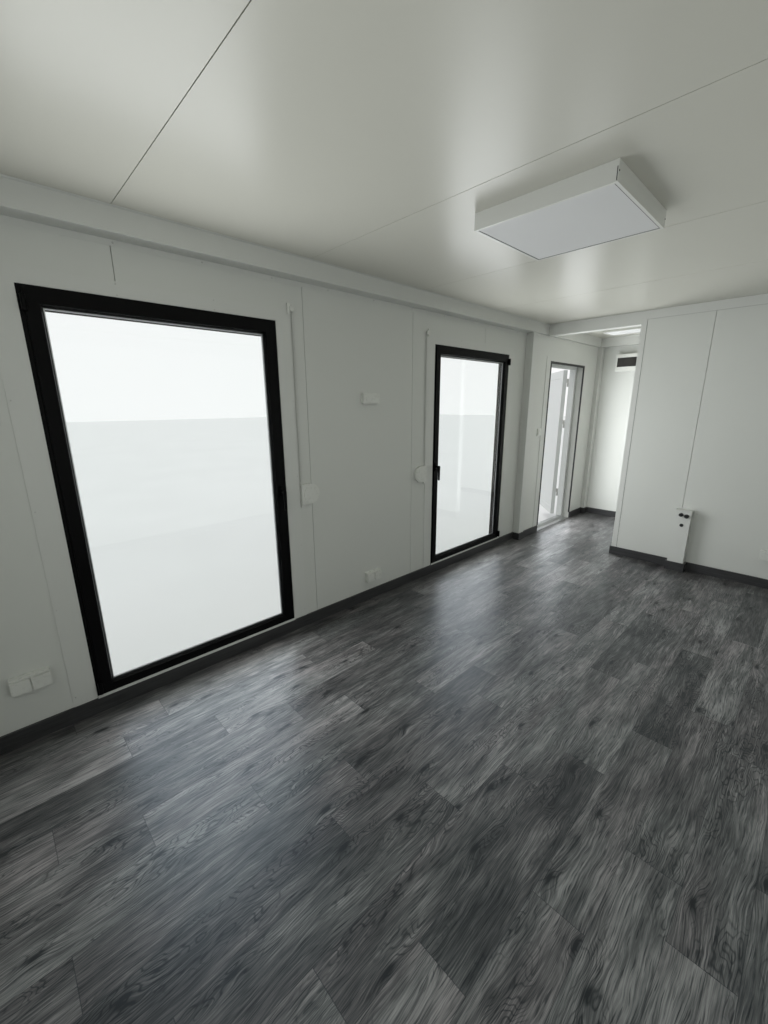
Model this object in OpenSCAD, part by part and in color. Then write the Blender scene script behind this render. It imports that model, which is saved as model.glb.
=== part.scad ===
// Portable site cabin: one room and an entrance bay in a steel frame.
// The front, with two tall windows and the door, faces -Y. The door bay is at -X.

/* [Cabin] */
// Outer length along X
body_l = 6900; // [6600:50:8000]
// Outer width along Y
body_w = 3000; // [2900:50:3400]
// Thickness of the wall panels
wall_t = 100; // [80:5:120]
// Finished floor above the ground
floor_z = 200; // [190:5:240]
// Clear height from floor to ceiling
room_h = 2355; // [2300:5:2500]
// Top of the roof rim above the ceiling
rim_over = 210; // [190:5:260]
// Gap between pieces that seat on each other
fit = 0.3; // [0.2:0.1:0.5]

/* [Wall panels] */
// Width of one wall or ceiling panel
panel_w = 1000; // [900:10:1100]
// Near end wall's outside to the first joint
first_joint = 1155; // [1120:5:1200]
// Open joint between two panels
joint_gap = 3; // [2:0.5:4]
// Depth of the panel tongue
tongue_l = 14; // [10:1:18]
// Thickness of the panel tongue
tongue_t = 30; // [20:1:36]
// Height of the ribs on the outer skin
rib_h = 3; // [2:0.5:4]
// Distance between ribs
rib_pitch = 250; // [200:10:300]

/* [Entrance bay] */
// Far end wall's outside to the boxed post
bay_l = 1980; // [1900:5:2050]
// Width of the boxed post
post_w = 100; // [80:5:120]
// How far the boxed post stands in from the wall face
post_out = 80; // [75:1:100]
// Extra thickness of the entrance wall
lining_t = 65; // [50:1:70]
// Far end wall's outside to the partition's room side
partition_at = 1693; // [1640:1:1750]
// Thickness of the partition
partition_t = 80; // [60:5:100]
// Free end of the partition to its first panel joint
partition_joint = 553; // [500:1:620]
// Clear passage beside the partition
passage_w = 991; // [900:1:1100]
// Width of the beam casing over the passage
beam_w = 100; // [80:5:120]
// Height of the beam casing
beam_h = 112; // [105:1:135]

/* [Cornice, casings and skirting] */
// Height of the boxed cornice under the ceiling
cornice_h = 100; // [90:1:130]
// How far the cornice stands in from the wall
cornice_out = 100; // [95:1:130]
// Thickness of the folded cornice sheet
sheet_t = 3; // [2:0.5:4]
// Width of a corner casing
casing_w = 90; // [60:5:110]
// Height of the skirting
skirt_h = 80; // [60:1:90]
// Thickness of the skirting
skirt_t = 14; // [10:1:18]

/* [Windows] */
// Width of a window frame
win_w = 1168; // [1100:2:1200]
// Height of a window frame
win_h = 1948; // [1850:2:1970]
// Window frame's lower edge above the floor
win_sill = 66; // [60:1:90]
// Near end wall's outside to the first window's middle
win_1_at = 1377; // [1300:1:1420]
// Boxed post to the second window's middle
win_2_at = 910; // [880:1:940]
// Depth of the window frame profile
win_d = 70; // [60:1:80]
// Width of the fixed frame's web
frame_bar = 26; // [24:1:34]
// Visible width of the opening sash
sash_bar = 50; // [46:1:60]
// Width of the white trim beside a window
trim_w = 100; // [80:1:104]
// Width of the white trim over a window
trim_top = 68; // [50:1:90]
// Thickness of the white trim
trim_t = 4; // [3:0.5:8]
// Width of the high window in the near end wall
high_win_w = 1200; // [1000:10:1300]
// Height of the high window
high_win_h = 500; // [400:10:600]

/* [Entrance door] */
// Far end wall's outside to the door opening
door_at = 580; // [560:1:620]
// Width of the door opening
door_w = 940; // [880:5:960]
// Height of the door opening above the floor
door_h = 1995; // [1900:5:2050]
// Angle at which the leaf stands open
door_open = 140; // [90:5:165]
// Thickness of the door leaf
leaf_t = 50; // [40:1:56]
// Gap round the closed leaf
leaf_gap = 6; // [5.5:0.5:8]
// Visible width of the door frame
door_bar = 45; // [38:1:55]
// Height of the threshold
sill_h = 22; // [15:1:30]
// Radius of the hinge pins
pin_r = 6; // [5:0.5:7]

/* [Roller shutters] */
// Height of a shutter box
box_h = 165; // [150:5:180]
// Depth of a shutter box
box_d = 165; // [150:5:180]
// Width of a guide rail
guide_w = 53; // [45:1:60]
// Depth of a guide rail
guide_d = 26; // [22:1:30]

/* [Lamps, sockets and boxes] */
// Side of the square ceiling lamps
lamp_w = 595; // [300:5:620]
// Depth of the ceiling lamps
lamp_d = 70; // [40:1:80]
// Width of the boxed pipes by the partition
pipe_box_w = 125; // [100:1:150]
// Height of the boxed pipes
pipe_box_h = 580; // [400:5:700]
// Depth of the boxed pipes
pipe_box_d = 80; // [60:1:100]
// Width of a double socket
socket_w = 150; // [140:1:160]
// Height of a socket
socket_h = 80; // [76:1:90]
// Width of the fuse box
fuse_w = 300; // [240:5:340]
// Height of the fuse box
fuse_h = 216; // [200:2:260]

/* [Hidden] */
$fn = 48;

half_l = body_l / 2;
half_w = body_w / 2;
in_l = half_l - wall_t;
in_w = half_w - wall_t;
ceil_z = floor_z + room_h;
rim_z = ceil_z - cornice_h;
top_z = ceil_z + rim_over;

// Base frame
base_h = floor_z - 20;
base_flange = wall_t;
steel_t = 6;
cross_h = 110;
cross_w = 60;
cross_n = 9;
pocket_w = 260;
pocket_h = 90;
pocket_at = 1025;

// Floor
cover_t = 4;
deck_z = cross_h + fit;
deck_top = floor_z - cover_t - fit;

// Wall panels
wall_z = base_h + fit;
wall_h = rim_z - sheet_t - 2 * fit - wall_z;
post_x = -half_l + bay_l;
part_x = -half_l + partition_at;
lining_y = -in_w + lining_t;
post_y = -in_w + post_out;
part_y = -in_w + passage_w;

trim_sheet = 2;
casing_out = 50;
casing_h = wall_z + wall_h - floor_z - fit;
fold_t = 2;

// Ceiling and roof
ceil_t = 60;
ceil_edge = wall_t + 45;
rim_lip = cornice_out - sheet_t - fit;
purlin_h = 60;
roof_z = ceil_z + ceil_t + purlin_h + 3 * fit;
rib_roof_h = 35;
roof_sheet_t = 2;
roof_ribs = 24;

// Windows: the middle of each along X, and the lower edge
win_x = [half_l - win_1_at, post_x + win_2_at];
mid_x = (win_x[0] + win_x[1]) / 2;
win_z = floor_z + win_sill;
win_y = -in_w - win_d;
high_win_z = floor_z + win_sill + win_h - high_win_h;
high_win_y = 180;
sash_out = 9;
glass_in = frame_bar + sash_bar - 16;
slat_h = 90;
handle_z = 1000;
handle_in = 38;
strip_over = 29;
shutter_z = win_z + win_h + 12;
guide_slot = 20;
casing_t = 3;
roll_r = 56;
roll_y = 70;
roll_z = 86;
strap_in = 112;
winder_r = 68;
winder_z = 956;
strap_top = 2078;

// Door: the opening's two sides, and the pin's place
door_x0 = -half_l + door_at;
door_x1 = door_x0 + door_w;
door_top = floor_z + door_h;
leaf_z = floor_z + sill_h + leaf_gap;
leaf_top = door_top - door_bar + 15 - leaf_gap;
leaf_h = leaf_top - leaf_z;
barrel_r = pin_r + 4;
pin_off = barrel_r + 3;
pin_x = door_x0 + door_bar - 15;
pin_y = -half_w - pin_off;
leaf_w = door_w - 2 * (door_bar - 15) - 2 * leaf_gap;
hinge_z = [floor_z + 290, floor_z + 1220, floor_z + 1750];
hinge_h = 100;
pin_clear = 0.08;

// Fittings
stile_w = 95;
thermo_w = 160;
thermo_h = 74;
socket_at = 560;
socket_off = 585;
socket_z = [305, 198, 287];
switch_z = 1220;
control_z = 1578;
switch_off = 310;
fuse_d = 90;
fuse_z = 1935;
fuse_off = 293;
pipe_t = 4;
lock_in = 62;
lock_z = 1040;
lamp_bay_w = lamp_w / 2;
lamp_at = [[mid_x + 43, 0], [post_x - 960, -0.43 * half_w]];
lamp_side = [lamp_w, lamp_bay_w];
lamp_edge = 12;
pipe_y = 173;

steel_col = [0.20, 0.22, 0.24];
white_col = [0.90, 0.90, 0.88];
skin_col = [0.82, 0.83, 0.82];
black_col = [0.05, 0.05, 0.055];
floor_col = [0.24, 0.24, 0.25];

// A box between two corners
module block(a, b) translate(a) cube(b - a);

// A frame of mitred bars in the XZ plane, from a profile of [inwards, depth] points
module mitred_frame(w, h, profile, bar, bottom = true) {
    if (bottom) mitred_bar(w, profile, bar);
    translate([0, 0, h]) mirror([0, 0, 1]) mitred_bar(w, profile, bar);
    mirror([1, 0, -1]) mitred_bar(h, profile, bar, !bottom);
    translate([w, 0, 0]) mirror([1, 0, 0]) mirror([1, 0, -1]) mitred_bar(h, profile, bar, !bottom);
}

// One bar along +X with its ends cut at 45 degrees, or its first end square
module mitred_bar(len, profile, bar, square_start = false)
    intersection() {
        rotate([90, 0, 90]) linear_extrude(len) polygon([for (p = profile) [p[1], p[0]]]);
        translate([0, 500, 0]) rotate([90, 0, 0]) linear_extrude(1000)
            polygon([[0, 0], [len, 0], [len - bar, bar], [square_start ? 0 : bar, bar]]);
    }

// Plan of one wall panel: outer skin at y = 0 with ribs, groove at its start, tongue at its end
rib = [[20, 0], [12, -rib_h], [-12, -rib_h], [-20, 0]];
function rib_points(w) = let (n = floor((w - 60) / rib_pitch), s = (w - (n - 1) * rib_pitch) / 2)
    [for (i = [n - 1:-1:0], p = rib) [s + i * rib_pitch + p[0], p[1]]];

function groove_points(t) = let (g = tongue_t / 2 + 1.5)
    [[0, t / 2 + g], [tongue_l + 2, t / 2 + g], [tongue_l + 2, t / 2 - g], [0, t / 2 - g]];

function tongue_points(w, t) = let (g = tongue_t / 2)
    [[w, t / 2 - g], [w + tongue_l, t / 2 - g + 2], [w + tongue_l, t / 2 + g - 2], [w, t / 2 + g]];

function flat_points(w, t, groove, tongue) = concat(
    [[0, 0]],
    groove ? [for (i = [3:-1:0]) groove_points(t)[i]] : [],
    [[0, t], [w, t]],
    tongue ? [for (i = [3:-1:0]) tongue_points(w, t)[i]] : [],
    [[w, 0]]);

module wall_panel(w, h, t, groove, tongue)
    linear_extrude(h) polygon(concat(rib_points(w), flat_points(w, t, groove, tongue)));

module inner_panel(w, h, t, groove, tongue) linear_extrude(h) polygon(flat_points(w, t, groove, tongue));

// A run of panels along +X from a list of joints, with the outer skin at y = 0
module panel_run(stops, h, t)
    for (i = [0:len(stops) - 2])
        translate([stops[i] + (i > 0 ? joint_gap / 2 : 0), 0, 0])
            wall_panel(stops[i + 1] - stops[i] - (i > 0 ? joint_gap / 2 : 0)
                       - (i < len(stops) - 2 ? joint_gap / 2 : 0), h, t, i > 0, i < len(stops) - 2);

// Joints between two ends: the regular pitch counted from the near end wall
function joints(x0, x1) = let (s = half_l - first_joint)
    concat([x0], [for (k = [12:-1:-12]) let (x = s - k * panel_w) if (x > x0 + 80 && x < x1 - 80) x], [x1]);

// Steel section open to the inside, along +X: web at y = 0, two flanges and a lip
module channel(len, h, f, t, lip = 0)
    rotate([90, 0, 90]) linear_extrude(len)
        polygon([[0, 0], [f, 0], [f, lip + t], [f - t, lip + t], [f - t, t], [t, t], [t, h - t],
                 [f - t, h - t], [f - t, h - t - lip], [f, h - t - lip], [f, h], [0, h]]);

// A slotted hole through the XZ plane
module slot_hole(w, h, depth) rotate([90, 0, 0]) translate([0, 0, -depth / 2]) linear_extrude(depth) {
    square([w - h, h], center = true);
    for (s = [-1, 1]) translate([s * (w - h) / 2, 0]) circle(d = h);
}

// Hollow corner casting with its outer corner at the origin and a slot in each outer face
module corner_casting(a, h, slot_z)
    difference() {
        cube([a, a, h]);
        translate([steel_t, steel_t, steel_t]) cube([a - 2 * steel_t, a - 2 * steel_t, h - 2 * steel_t]);
        translate([a / 2, 0, slot_z]) rotate([0, 90, 0]) slot_hole(0.9 * a, 0.45 * a, 3 * steel_t);
        translate([0, a / 2, slot_z]) rotate(90) rotate([0, 90, 0]) slot_hole(0.9 * a, 0.45 * a, 3 * steel_t);
    }

module base_frame() color(steel_col) {
    difference() {
        union() {
            for (s = [0, 1]) mirror([0, s, 0])
                translate([-half_l, -half_w, 0]) channel(body_l, base_h, base_flange, steel_t);
            for (s = [0, 1]) mirror([s, 0, 0])
                translate([half_l, -half_w, 0]) rotate(90) channel(body_w, base_h, base_flange, steel_t);
            for (sx = [0, 1], sy = [0, 1]) mirror([sx, 0, 0]) mirror([0, sy, 0])
                translate([pocket_at - pocket_w / 2 - steel_t, -half_w, 40 - steel_t])
                    cube([pocket_w + 2 * steel_t, base_flange, pocket_h + 2 * steel_t]);
        }
        for (sx = [0, 1], sy = [0, 1]) mirror([sx, 0, 0]) mirror([0, sy, 0]) {
            translate([pocket_at - pocket_w / 2, -half_w - 1, 40])
                cube([pocket_w, base_flange + 2, pocket_h]);
            translate([-half_l - 1, -half_w - 1, -1]) cube([base_flange, base_flange, base_h + 2]);
        }
    }
    for (sx = [0, 1], sy = [0, 1]) mirror([sx, 0, 0]) mirror([0, sy, 0])
        translate([-half_l, -half_w, 0]) corner_casting(base_flange, base_h, base_h / 2);
}

module cross_members() color(steel_col)
    for (i = [0:cross_n - 1])
        translate([-in_l + (i + 0.5) * 2 * in_l / cross_n + cross_w / 2, -half_w + base_flange + fit, 0])
            rotate(90) channel(body_w - 2 * base_flange - 2 * fit, cross_h, cross_w, steel_t);

module floor_deck() color([0.72, 0.72, 0.70])
    block([-in_l + fit, -in_w + fit, deck_z], [in_l - fit, in_w - fit, deck_top]);

module floor_covering() color(floor_col)
    difference() {
        block([-in_l + fit, -in_w + fit, floor_z - cover_t], [in_l - fit, in_w - fit, floor_z]);
        block([-in_l - 1, -in_w - 1, floor_z - cover_t - 1], [post_x - post_w, lining_y + fit, floor_z + 1]);
    }

module corner_posts() color(steel_col)
    for (sx = [0, 1], sy = [0, 1]) mirror([sx, 0, 0]) mirror([0, sy, 0])
        translate([-half_l, -half_w, base_h + fit])
            linear_extrude(rim_z - base_h - 2 * fit) difference() {
                polygon([[-5, -5], [wall_t + 45, -5], [wall_t + 45, -fit - rib_h],
                         [wall_t - fit, -fit - rib_h],
                         [wall_t - fit, wall_t - fit], [-fit - rib_h, wall_t - fit],
                         [-fit - rib_h, wall_t + 45], [-5, wall_t + 45]]);
                translate([steel_t, steel_t]) square(wall_t - fit - 2 * steel_t);
            }

module rim_profile() polygon([[0, 0], [rim_lip + wall_t, 0], [rim_lip + wall_t, cornice_h - fit],
    [rim_lip + wall_t - steel_t, cornice_h - fit], [rim_lip + wall_t - steel_t, steel_t], [steel_t, steel_t],
    [steel_t, top_z - rim_z - steel_t], [wall_t - steel_t, top_z - rim_z - steel_t],
    [wall_t - steel_t, top_z - rim_z - 30], [wall_t, top_z - rim_z - 30], [wall_t, top_z - rim_z],
    [0, top_z - rim_z]]);

module roof_frame() color(steel_col) {
    difference() {
        for (s = [0, 1]) {
            mirror([0, s, 0]) translate([-half_l, -half_w, rim_z])
                rotate([90, 0, 90]) linear_extrude(body_l) rim_profile();
            mirror([s, 0, 0]) translate([-half_l, half_w, rim_z])
                rotate([90, 0, 0]) linear_extrude(body_w) rim_profile();
        }
        for (sx = [0, 1], sy = [0, 1]) mirror([sx, 0, 0]) mirror([0, sy, 0])
            translate([-half_l - 1, -half_w - 1, rim_z - 1]) cube([wall_t, wall_t, top_z - rim_z + 2]);
    }
    for (i = [0:4])
        translate([-in_l + (i + 0.5) * 2 * in_l / 5 - 30, -half_w + steel_t / 2, ceil_z + ceil_t + 2 * fit])
            cube([60, body_w - steel_t, purlin_h]);
    for (sx = [0, 1], sy = [0, 1]) mirror([sx, 0, 0]) mirror([0, sy, 0]) translate([-half_l, -half_w, rim_z])
        difference() {
            corner_casting(wall_t, top_z - rim_z, top_z - rim_z - 90);
            translate([wall_t / 2, wall_t / 2, top_z - rim_z - 2 * steel_t])
                cylinder(h = 3 * steel_t, r = 0.25 * wall_t);
        }
}

// Trapezoidal sheet with its ribs across the cabin
module roof_sheet() color(skin_col) {
    x0 = -half_l + wall_t + 45;
    pitch = -2 * x0 / roof_ribs;
    top = [for (i = [0:roof_ribs - 1], p = [[0, 0], [0.55, 0], [0.65, 1], [0.9, 1]])
        [x0 + (i + p[0]) * pitch, p[1] * rib_roof_h]];
    low = [for (i = [len(top) - 1:-1:0]) [top[i][0], top[i][1] + roof_sheet_t]];
    translate([0, half_w - wall_t - 45, roof_z]) rotate([90, 0, 0])
        linear_extrude(2 * (half_w - wall_t - 45)) polygon(concat(top, low));
}

module ceiling_panels() color(white_col)
    translate([0, 0, ceil_z + ceil_t + fit]) rotate([180, 0, 0]) ceiling_run();

// Ceiling panels lie across the cabin, so the joints run along Y
module ceiling_run() {
    stops = joints(-half_l + ceil_edge, half_l - ceil_edge);
    for (i = [0:len(stops) - 2])
        translate([stops[i] + (i > 0 ? joint_gap / 2 : 0), 0, 0])
            translate([0, half_w - ceil_edge, 0]) rotate([90, 0, 0]) linear_extrude(2 * (half_w - ceil_edge))
                polygon(ceiling_points(stops[i + 1] - stops[i] - (i > 0 ? joint_gap / 2 : 0)
                        - (i < len(stops) - 2 ? joint_gap / 2 : 0), i > 0, i < len(stops) - 2));
}

function ceiling_points(w, groove, tongue) = concat(
    [[0, 0]],
    groove ? [[0, 22], [tongue_l + 2, 24], [tongue_l + 2, 36], [0, 38]] : [],
    [[0, ceil_t], [w, ceil_t]],
    tongue ? [[w, 36], [w + tongue_l, 34], [w + tongue_l, 26], [w, 24]] : [],
    [[w, 0]]);

// Holes for the two tall windows
module window_holes(extra)
    for (x = win_x)
        block([x - win_w / 2 - extra, -half_w - 50, win_z - extra],
              [x + win_w / 2 + extra, 0, win_z + win_h + extra]);

module high_window_hole(extra)
    block([in_l - 50, high_win_y - high_win_w / 2 - extra, high_win_z - extra],
          [half_l + 50, high_win_y + high_win_w / 2 + extra, high_win_z + high_win_h + extra]);

module front_wall() color(skin_col)
    difference() {
        translate([0, -half_w, wall_z]) panel_run(joints(post_x + fit, in_l), wall_h, wall_t);
        window_holes(fit);
    }

module rear_wall() color(skin_col)
    translate([0, half_w, wall_z]) mirror([0, 1, 0]) panel_run(joints(-in_l, in_l), wall_h, wall_t);

module near_end_wall() color(skin_col)
    difference() {
        translate([half_l, 0, wall_z]) rotate(90)
            panel_run([-in_w, -in_w + 900, in_w - 900, in_w], wall_h, wall_t);
        high_window_hole(fit);
    }

module far_end_wall() color(skin_col)
    translate([-half_l, 0, wall_z]) rotate(-90)
        panel_run([-in_w, -in_w + 900, in_w - 900, in_w], wall_h, wall_t);

// A wall of the entrance bay: the panel, and a lining that stands on the floor
module entrance_panel(x0, x1, lining_x1, z0)
    difference() {
        translate([x0, -half_w, z0])
            wall_panel(x1 - x0, wall_z + wall_h - z0, wall_t + lining_t, false, false);
        block([x0 - 1, -in_w, z0 - 1], [x1 + 1, 0, floor_z - cover_t]);
        if (lining_x1 < x1) block([lining_x1, -in_w, z0 - 1], [x1 + 1, 0, ceil_z]);
    }

module entrance_wall_left() color(skin_col)
    entrance_panel(door_x1 + fit, post_x, post_x - post_w - fit, wall_z);

module entrance_wall_right() color(skin_col)
    entrance_panel(-in_l, door_x0 - fit, door_x0, wall_z);

module entrance_wall_over() color(skin_col)
    entrance_panel(door_x0, door_x1, door_x1, door_top + fit);

// Folded sheet round the post
module entrance_post() color(white_col)
    translate([0, 0, floor_z + fit]) linear_extrude(casing_h)
        fold([[post_x - post_w, -in_w + fit], [post_x - post_w, post_y],
              [post_x, post_y], [post_x, -in_w + fit]]);

// A folded sheet in plan: a path of square corners and the same path fold_t to its right
module fold(path) polygon(concat(path, [for (i = [len(path) - 1:-1:0]) shifted(path, -fold_t)[i]]));

// A path of square corners moved d to its left
function heading(path, i) = let (v = path[i + 1] - path[i]) v / norm(v);
function left_of(u) = [-u[1], u[0]];
function shifted(path, d) = [for (i = [0:len(path) - 1]) path[i]
    + (i > 0 ? d * left_of(heading(path, i - 1)) : [0, 0])
    + (i < len(path) - 1 ? d * left_of(heading(path, i)) : [0, 0])];

function partition_stops() = let (w = in_w - fit - part_y)
    concat([0], [for (k = [0:4]) let (x = partition_joint + k * panel_w) if (x < w - 80) x], [w]);

// Run of smooth panels along +X, with one face at y = 0
module inner_run(stops, h, t)
    for (i = [0:len(stops) - 2])
        translate([stops[i] + (i > 0 ? joint_gap / 2 : 0), 0, 0])
            inner_panel(stops[i + 1] - stops[i] - (i > 0 ? joint_gap / 2 : 0)
                        - (i < len(stops) - 2 ? joint_gap / 2 : 0), h, t, i > 0, i < len(stops) - 2);

module partition_wall() color(white_col)
    difference() {
        translate([part_x, part_y, floor_z + fit]) rotate(90)
            inner_run(partition_stops(), ceil_z - floor_z - 2 * fit, partition_t);
        block([part_x - partition_t - 1, in_w - cornice_out - fit, rim_z - sheet_t - fit],
              [part_x + 1, in_w, ceil_z]);
    }

// Folded sheet over the partition's free end, and a strip under the ceiling on each face
module partition_trim() color(white_col) {
    difference() {
        block([part_x - partition_t - trim_sheet - fit, part_y - trim_sheet - fit, floor_z + skirt_h + fit],
              [part_x + trim_sheet + fit, part_y + 45, ceil_z - fit]);
        block([part_x - partition_t - fit, part_y - fit, floor_z], [part_x + fit, part_y + 46, ceil_z]);
    }
    for (x = [part_x - partition_t - trim_sheet - fit, part_x + fit])
        block([x, part_y + 45 + fit, ceil_z - 75], [x + trim_sheet, in_w - cornice_out - fit, ceil_z - fit]);
}

// Folded sheet over the rim beam: a face and an underside, mitred at the corners of the room
cornice_profile = [[0, -sheet_t], [cornice_out, -sheet_t], [cornice_out, cornice_h - fit],
                   [cornice_out - sheet_t, cornice_h - fit], [cornice_out - sheet_t, -fit], [0, -fit]];

module cornice(len) translate([fit, 0, 0]) mirror([0, 1, -1]) mitred_bar(len - 2 * fit, cornice_profile, 300);

module cornices() color(white_col)
    for (s = [0, 1]) {
        mirror([0, s, 0]) translate([-in_l, -in_w, rim_z]) cornice(2 * in_l);
        mirror([s, 0, 0]) translate([in_l, -in_w, rim_z]) rotate(90) cornice(2 * in_w);
    }

// Folded casings: over the passage, and in the four corners of the room
module casings() color(white_col) {
    translate([part_x, -in_w + cornice_out + fit, ceil_z - fit]) rotate([-90, 0, 0])
        linear_extrude(part_y - trim_sheet - 3 * fit + in_w - cornice_out)
            fold([[-beam_w, 0], [-beam_w, beam_h], [0, beam_h], [0, 0]]);
    translate([-in_l, lining_y, floor_z + fit]) linear_extrude(casing_h)
        fold([[fit, casing_out], [casing_w, casing_out], [casing_w, fit]]);
    for (p = [[0, 1], [1, 0], [1, 1]])
        mirror([p[0], 0, 0]) mirror([0, p[1], 0]) translate([-in_l, -in_w, floor_z + fit])
            linear_extrude(casing_h) fold([[fit, casing_w], [casing_w, casing_w], [casing_w, fit]]);
}

// Skirting boards along a path in plan, with mitred corners
module skirting_run(path) {
    low = shifted(path, fit);
    out = shifted(path, skirt_t);
    for (i = [0:len(path) - 2]) {
        u = fit / 2 * heading(path, i);
        translate([0, 0, floor_z + fit]) linear_extrude(skirt_h - fit)
            polygon([low[i] + u, low[i + 1] - u, out[i + 1] - u, out[i] + u]);
    }
}

module skirting_boards() color(floor_col) {
    px = part_x;
    pf = px + pipe_box_d + fit;
    qx = part_x - partition_t;
    p0 = pipe_y - pipe_box_w / 2;
    p1 = pipe_y + pipe_box_w / 2;
    c = casing_w;
    skirting_run([[door_x1, lining_y], [post_x - post_w, lining_y], [post_x - post_w, post_y],
                  [post_x, post_y], [post_x, -in_w], [in_l - c, -in_w], [in_l - c, c - in_w],
                  [in_l, c - in_w], [in_l, in_w - c],
                  [in_l - c, in_w - c], [in_l - c, in_w], [px, in_w], [px, p1], [pf, p1], [pf, p0],
                  [px, p0], [px, part_y], [qx, part_y], [qx, in_w], [c - in_l, in_w],
                  [c - in_l, in_w - c], [-in_l, in_w - c], [-in_l, lining_y + casing_out],
                  [c - in_l, lining_y + casing_out], [c - in_l, lining_y], [door_x0, lining_y]]);
}

// Fixed frame: a web with an outer flange. Sash: laps the frame inside and grips the glass in a groove
frame_profile = [[0, 0], [sash_bar, 0], [sash_bar + 4, 5], [sash_bar + 4, 22], [frame_bar, 22],
                 [frame_bar, win_d], [0, win_d]];
sash_profile = [[frame_bar + 4, 25], [frame_bar + sash_bar, 25], [frame_bar + sash_bar, 31], [glass_in, 31],
                [glass_in, 56], [frame_bar + sash_bar, 56], [frame_bar + sash_bar, 66],
                [frame_bar + sash_bar - 6, win_d + sash_out], [frame_bar - 8, win_d + sash_out],
                [frame_bar - 8, win_d + fit], [frame_bar + 4, win_d + fit]];

module window_frames() color(black_col) {
    for (x = win_x) translate([x - win_w / 2, win_y, win_z]) mitred_frame(win_w, win_h, frame_profile, 90);
    high_window() mitred_frame(high_win_w, high_win_h, frame_profile, 90);
}

module window_sashes() color(black_col) {
    for (x = win_x) translate([x - win_w / 2, win_y, win_z]) mitred_frame(win_w, win_h, sash_profile, 120);
    high_window() mitred_frame(high_win_w, high_win_h, sash_profile, 120);
}

// Place a window in the near end wall
module high_window()
    translate([half_l - half_w - win_y, high_win_y - high_win_w / 2, high_win_z]) rotate(90) children();

module pane(w, h) {
    b = glass_in + 2;
    translate([b, 31 + fit, b]) cube([w - 2 * b, 25 - 2 * fit, h - 2 * b]);
}

module window_glass() color([0.7, 0.8, 0.85, 0.3]) {
    for (x = win_x) translate([x - win_w / 2, win_y, win_z]) pane(win_w, win_h);
    high_window() pane(high_win_w, high_win_h);
}

// Handle on a sash and the covers of its two hinges, at the middle of the sash's face
module window_handle() {
    linear_extrude(9) rounded(28, 74, 13);
    cylinder(h = 34, r = 9);
    translate([0, 0, 33]) linear_extrude(11) {
        circle(r = 10);
        polygon([[-10, 0], [10, 0], [7.5, -112], [-7.5, -112]]);
        translate([0, -112]) circle(r = 7.5);
    }
}

module hinge_cover() {
    cylinder(h = 62, r = 9);
    translate([-9, -14, 0]) cube([18, 14, 62]);
}

// A rectangle with rounded corners, about the origin
module rounded(w, h, r) {
    square([w - 2 * r, h], center = true);
    square([w, h - 2 * r], center = true);
    for (sx = [-1, 1], sy = [-1, 1]) translate([sx * (w / 2 - r), sy * (h / 2 - r)]) circle(r = r);
}

module window_fittings() color(black_col) {
    face_y = win_y + win_d + sash_out + fit;
    for (i = [0, 1]) {
        side = i == 0 ? -1 : 1;
        translate([win_x[i] + side * (win_w / 2 - handle_in), face_y, floor_z + handle_z])
            rotate([90, 0, 0]) mirror([0, 0, 1]) window_handle();
        for (z = [win_z + 40, win_z + win_h - 102])
            translate([win_x[i] - side * (win_w / 2 - 16), face_y + 14, z]) hinge_cover();
    }
    high_window() translate([high_win_w / 2, win_d + sash_out + fit, handle_in])
        rotate([90, 90, 0]) mirror([0, 0, 1]) window_handle();
}

// Outer sills: an upstand against the frame, a fall and a drip edge
sill_profile = [[0, 24], [0, 10], [32 + rib_h + 38, 3], [32 + rib_h + 38, -22], [32 + rib_h + 40, -22],
                [32 + rib_h + 40, 5], [2, 12], [2, 24]];

module window_sill(w)
    translate([fit, -fit, 0]) rotate([90, 0, 90]) linear_extrude(w - 2 * fit)
        polygon([for (p = sill_profile) [-p[0], p[1]]]);

module window_sills() color([0.7, 0.7, 0.7]) {
    for (x = win_x) translate([x - win_w / 2, win_y, win_z]) window_sill(win_w);
    high_window() window_sill(high_win_w);
}

// White strips round the openings on the inside, and over the skirting below a window
module opening_trims() color(white_col) {
    for (x = win_x)
        block([x - win_w / 2, -in_w + skirt_t - 2.5, floor_z + skirt_h + fit],
              [x + win_w / 2, -in_w + skirt_t, floor_z + win_sill + strip_over]);
    for (x = win_x)
        translate([x, -in_w + fit, 0]) difference() {
            block([-win_w / 2 - trim_w, 0, floor_z + skirt_h + fit],
                  [win_w / 2 + trim_w, trim_t, win_z + win_h + trim_top]);
            block([-win_w / 2 - 1, -1, 0], [win_w / 2 + 1, trim_t + 1, win_z + win_h + 1]);
        }
    translate([(door_x0 + door_x1) / 2, lining_y + fit, floor_z]) difference() {
        block([-door_w / 2 - trim_w, 0, skirt_h + fit], [door_w / 2 + trim_w, trim_t, door_h + 50]);
        block([-door_w / 2, -1, -1], [door_w / 2, trim_t + 1, door_h]);
    }
    high_window() translate([high_win_w / 2, win_d + fit, high_win_h / 2]) rotate([90, 0, 0])
        mirror([0, 0, 1]) linear_extrude(trim_t) difference() {
            square([high_win_w + 2 * trim_top, high_win_h + 2 * trim_top], center = true);
            square([high_win_w + 2, high_win_h + 2], center = true);
        }
}

// Shutter casing: a folded shell with a slot below for the curtain, and an end plate at each side
box_l = win_w + 2 * guide_w + 20;
box_shape = [[0, 0], [box_d - 55, 0], [box_d, 55], [box_d, box_h], [0, box_h]];

module shutter_boxes() color(steel_col)
    for (x = win_x)
        translate([x - box_l / 2, -half_w - rib_h - fit, shutter_z]) rotate([90, 0, 90]) mirror([1, 0, 0]) {
            linear_extrude(box_l) difference() {
                polygon(box_shape);
                offset_box();
                translate([4, -1]) square([24, casing_t + 2]);
            }
            for (z = [0, box_l - casing_t]) translate([0, 0, z]) linear_extrude(casing_t) polygon(box_shape);
        }

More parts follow.
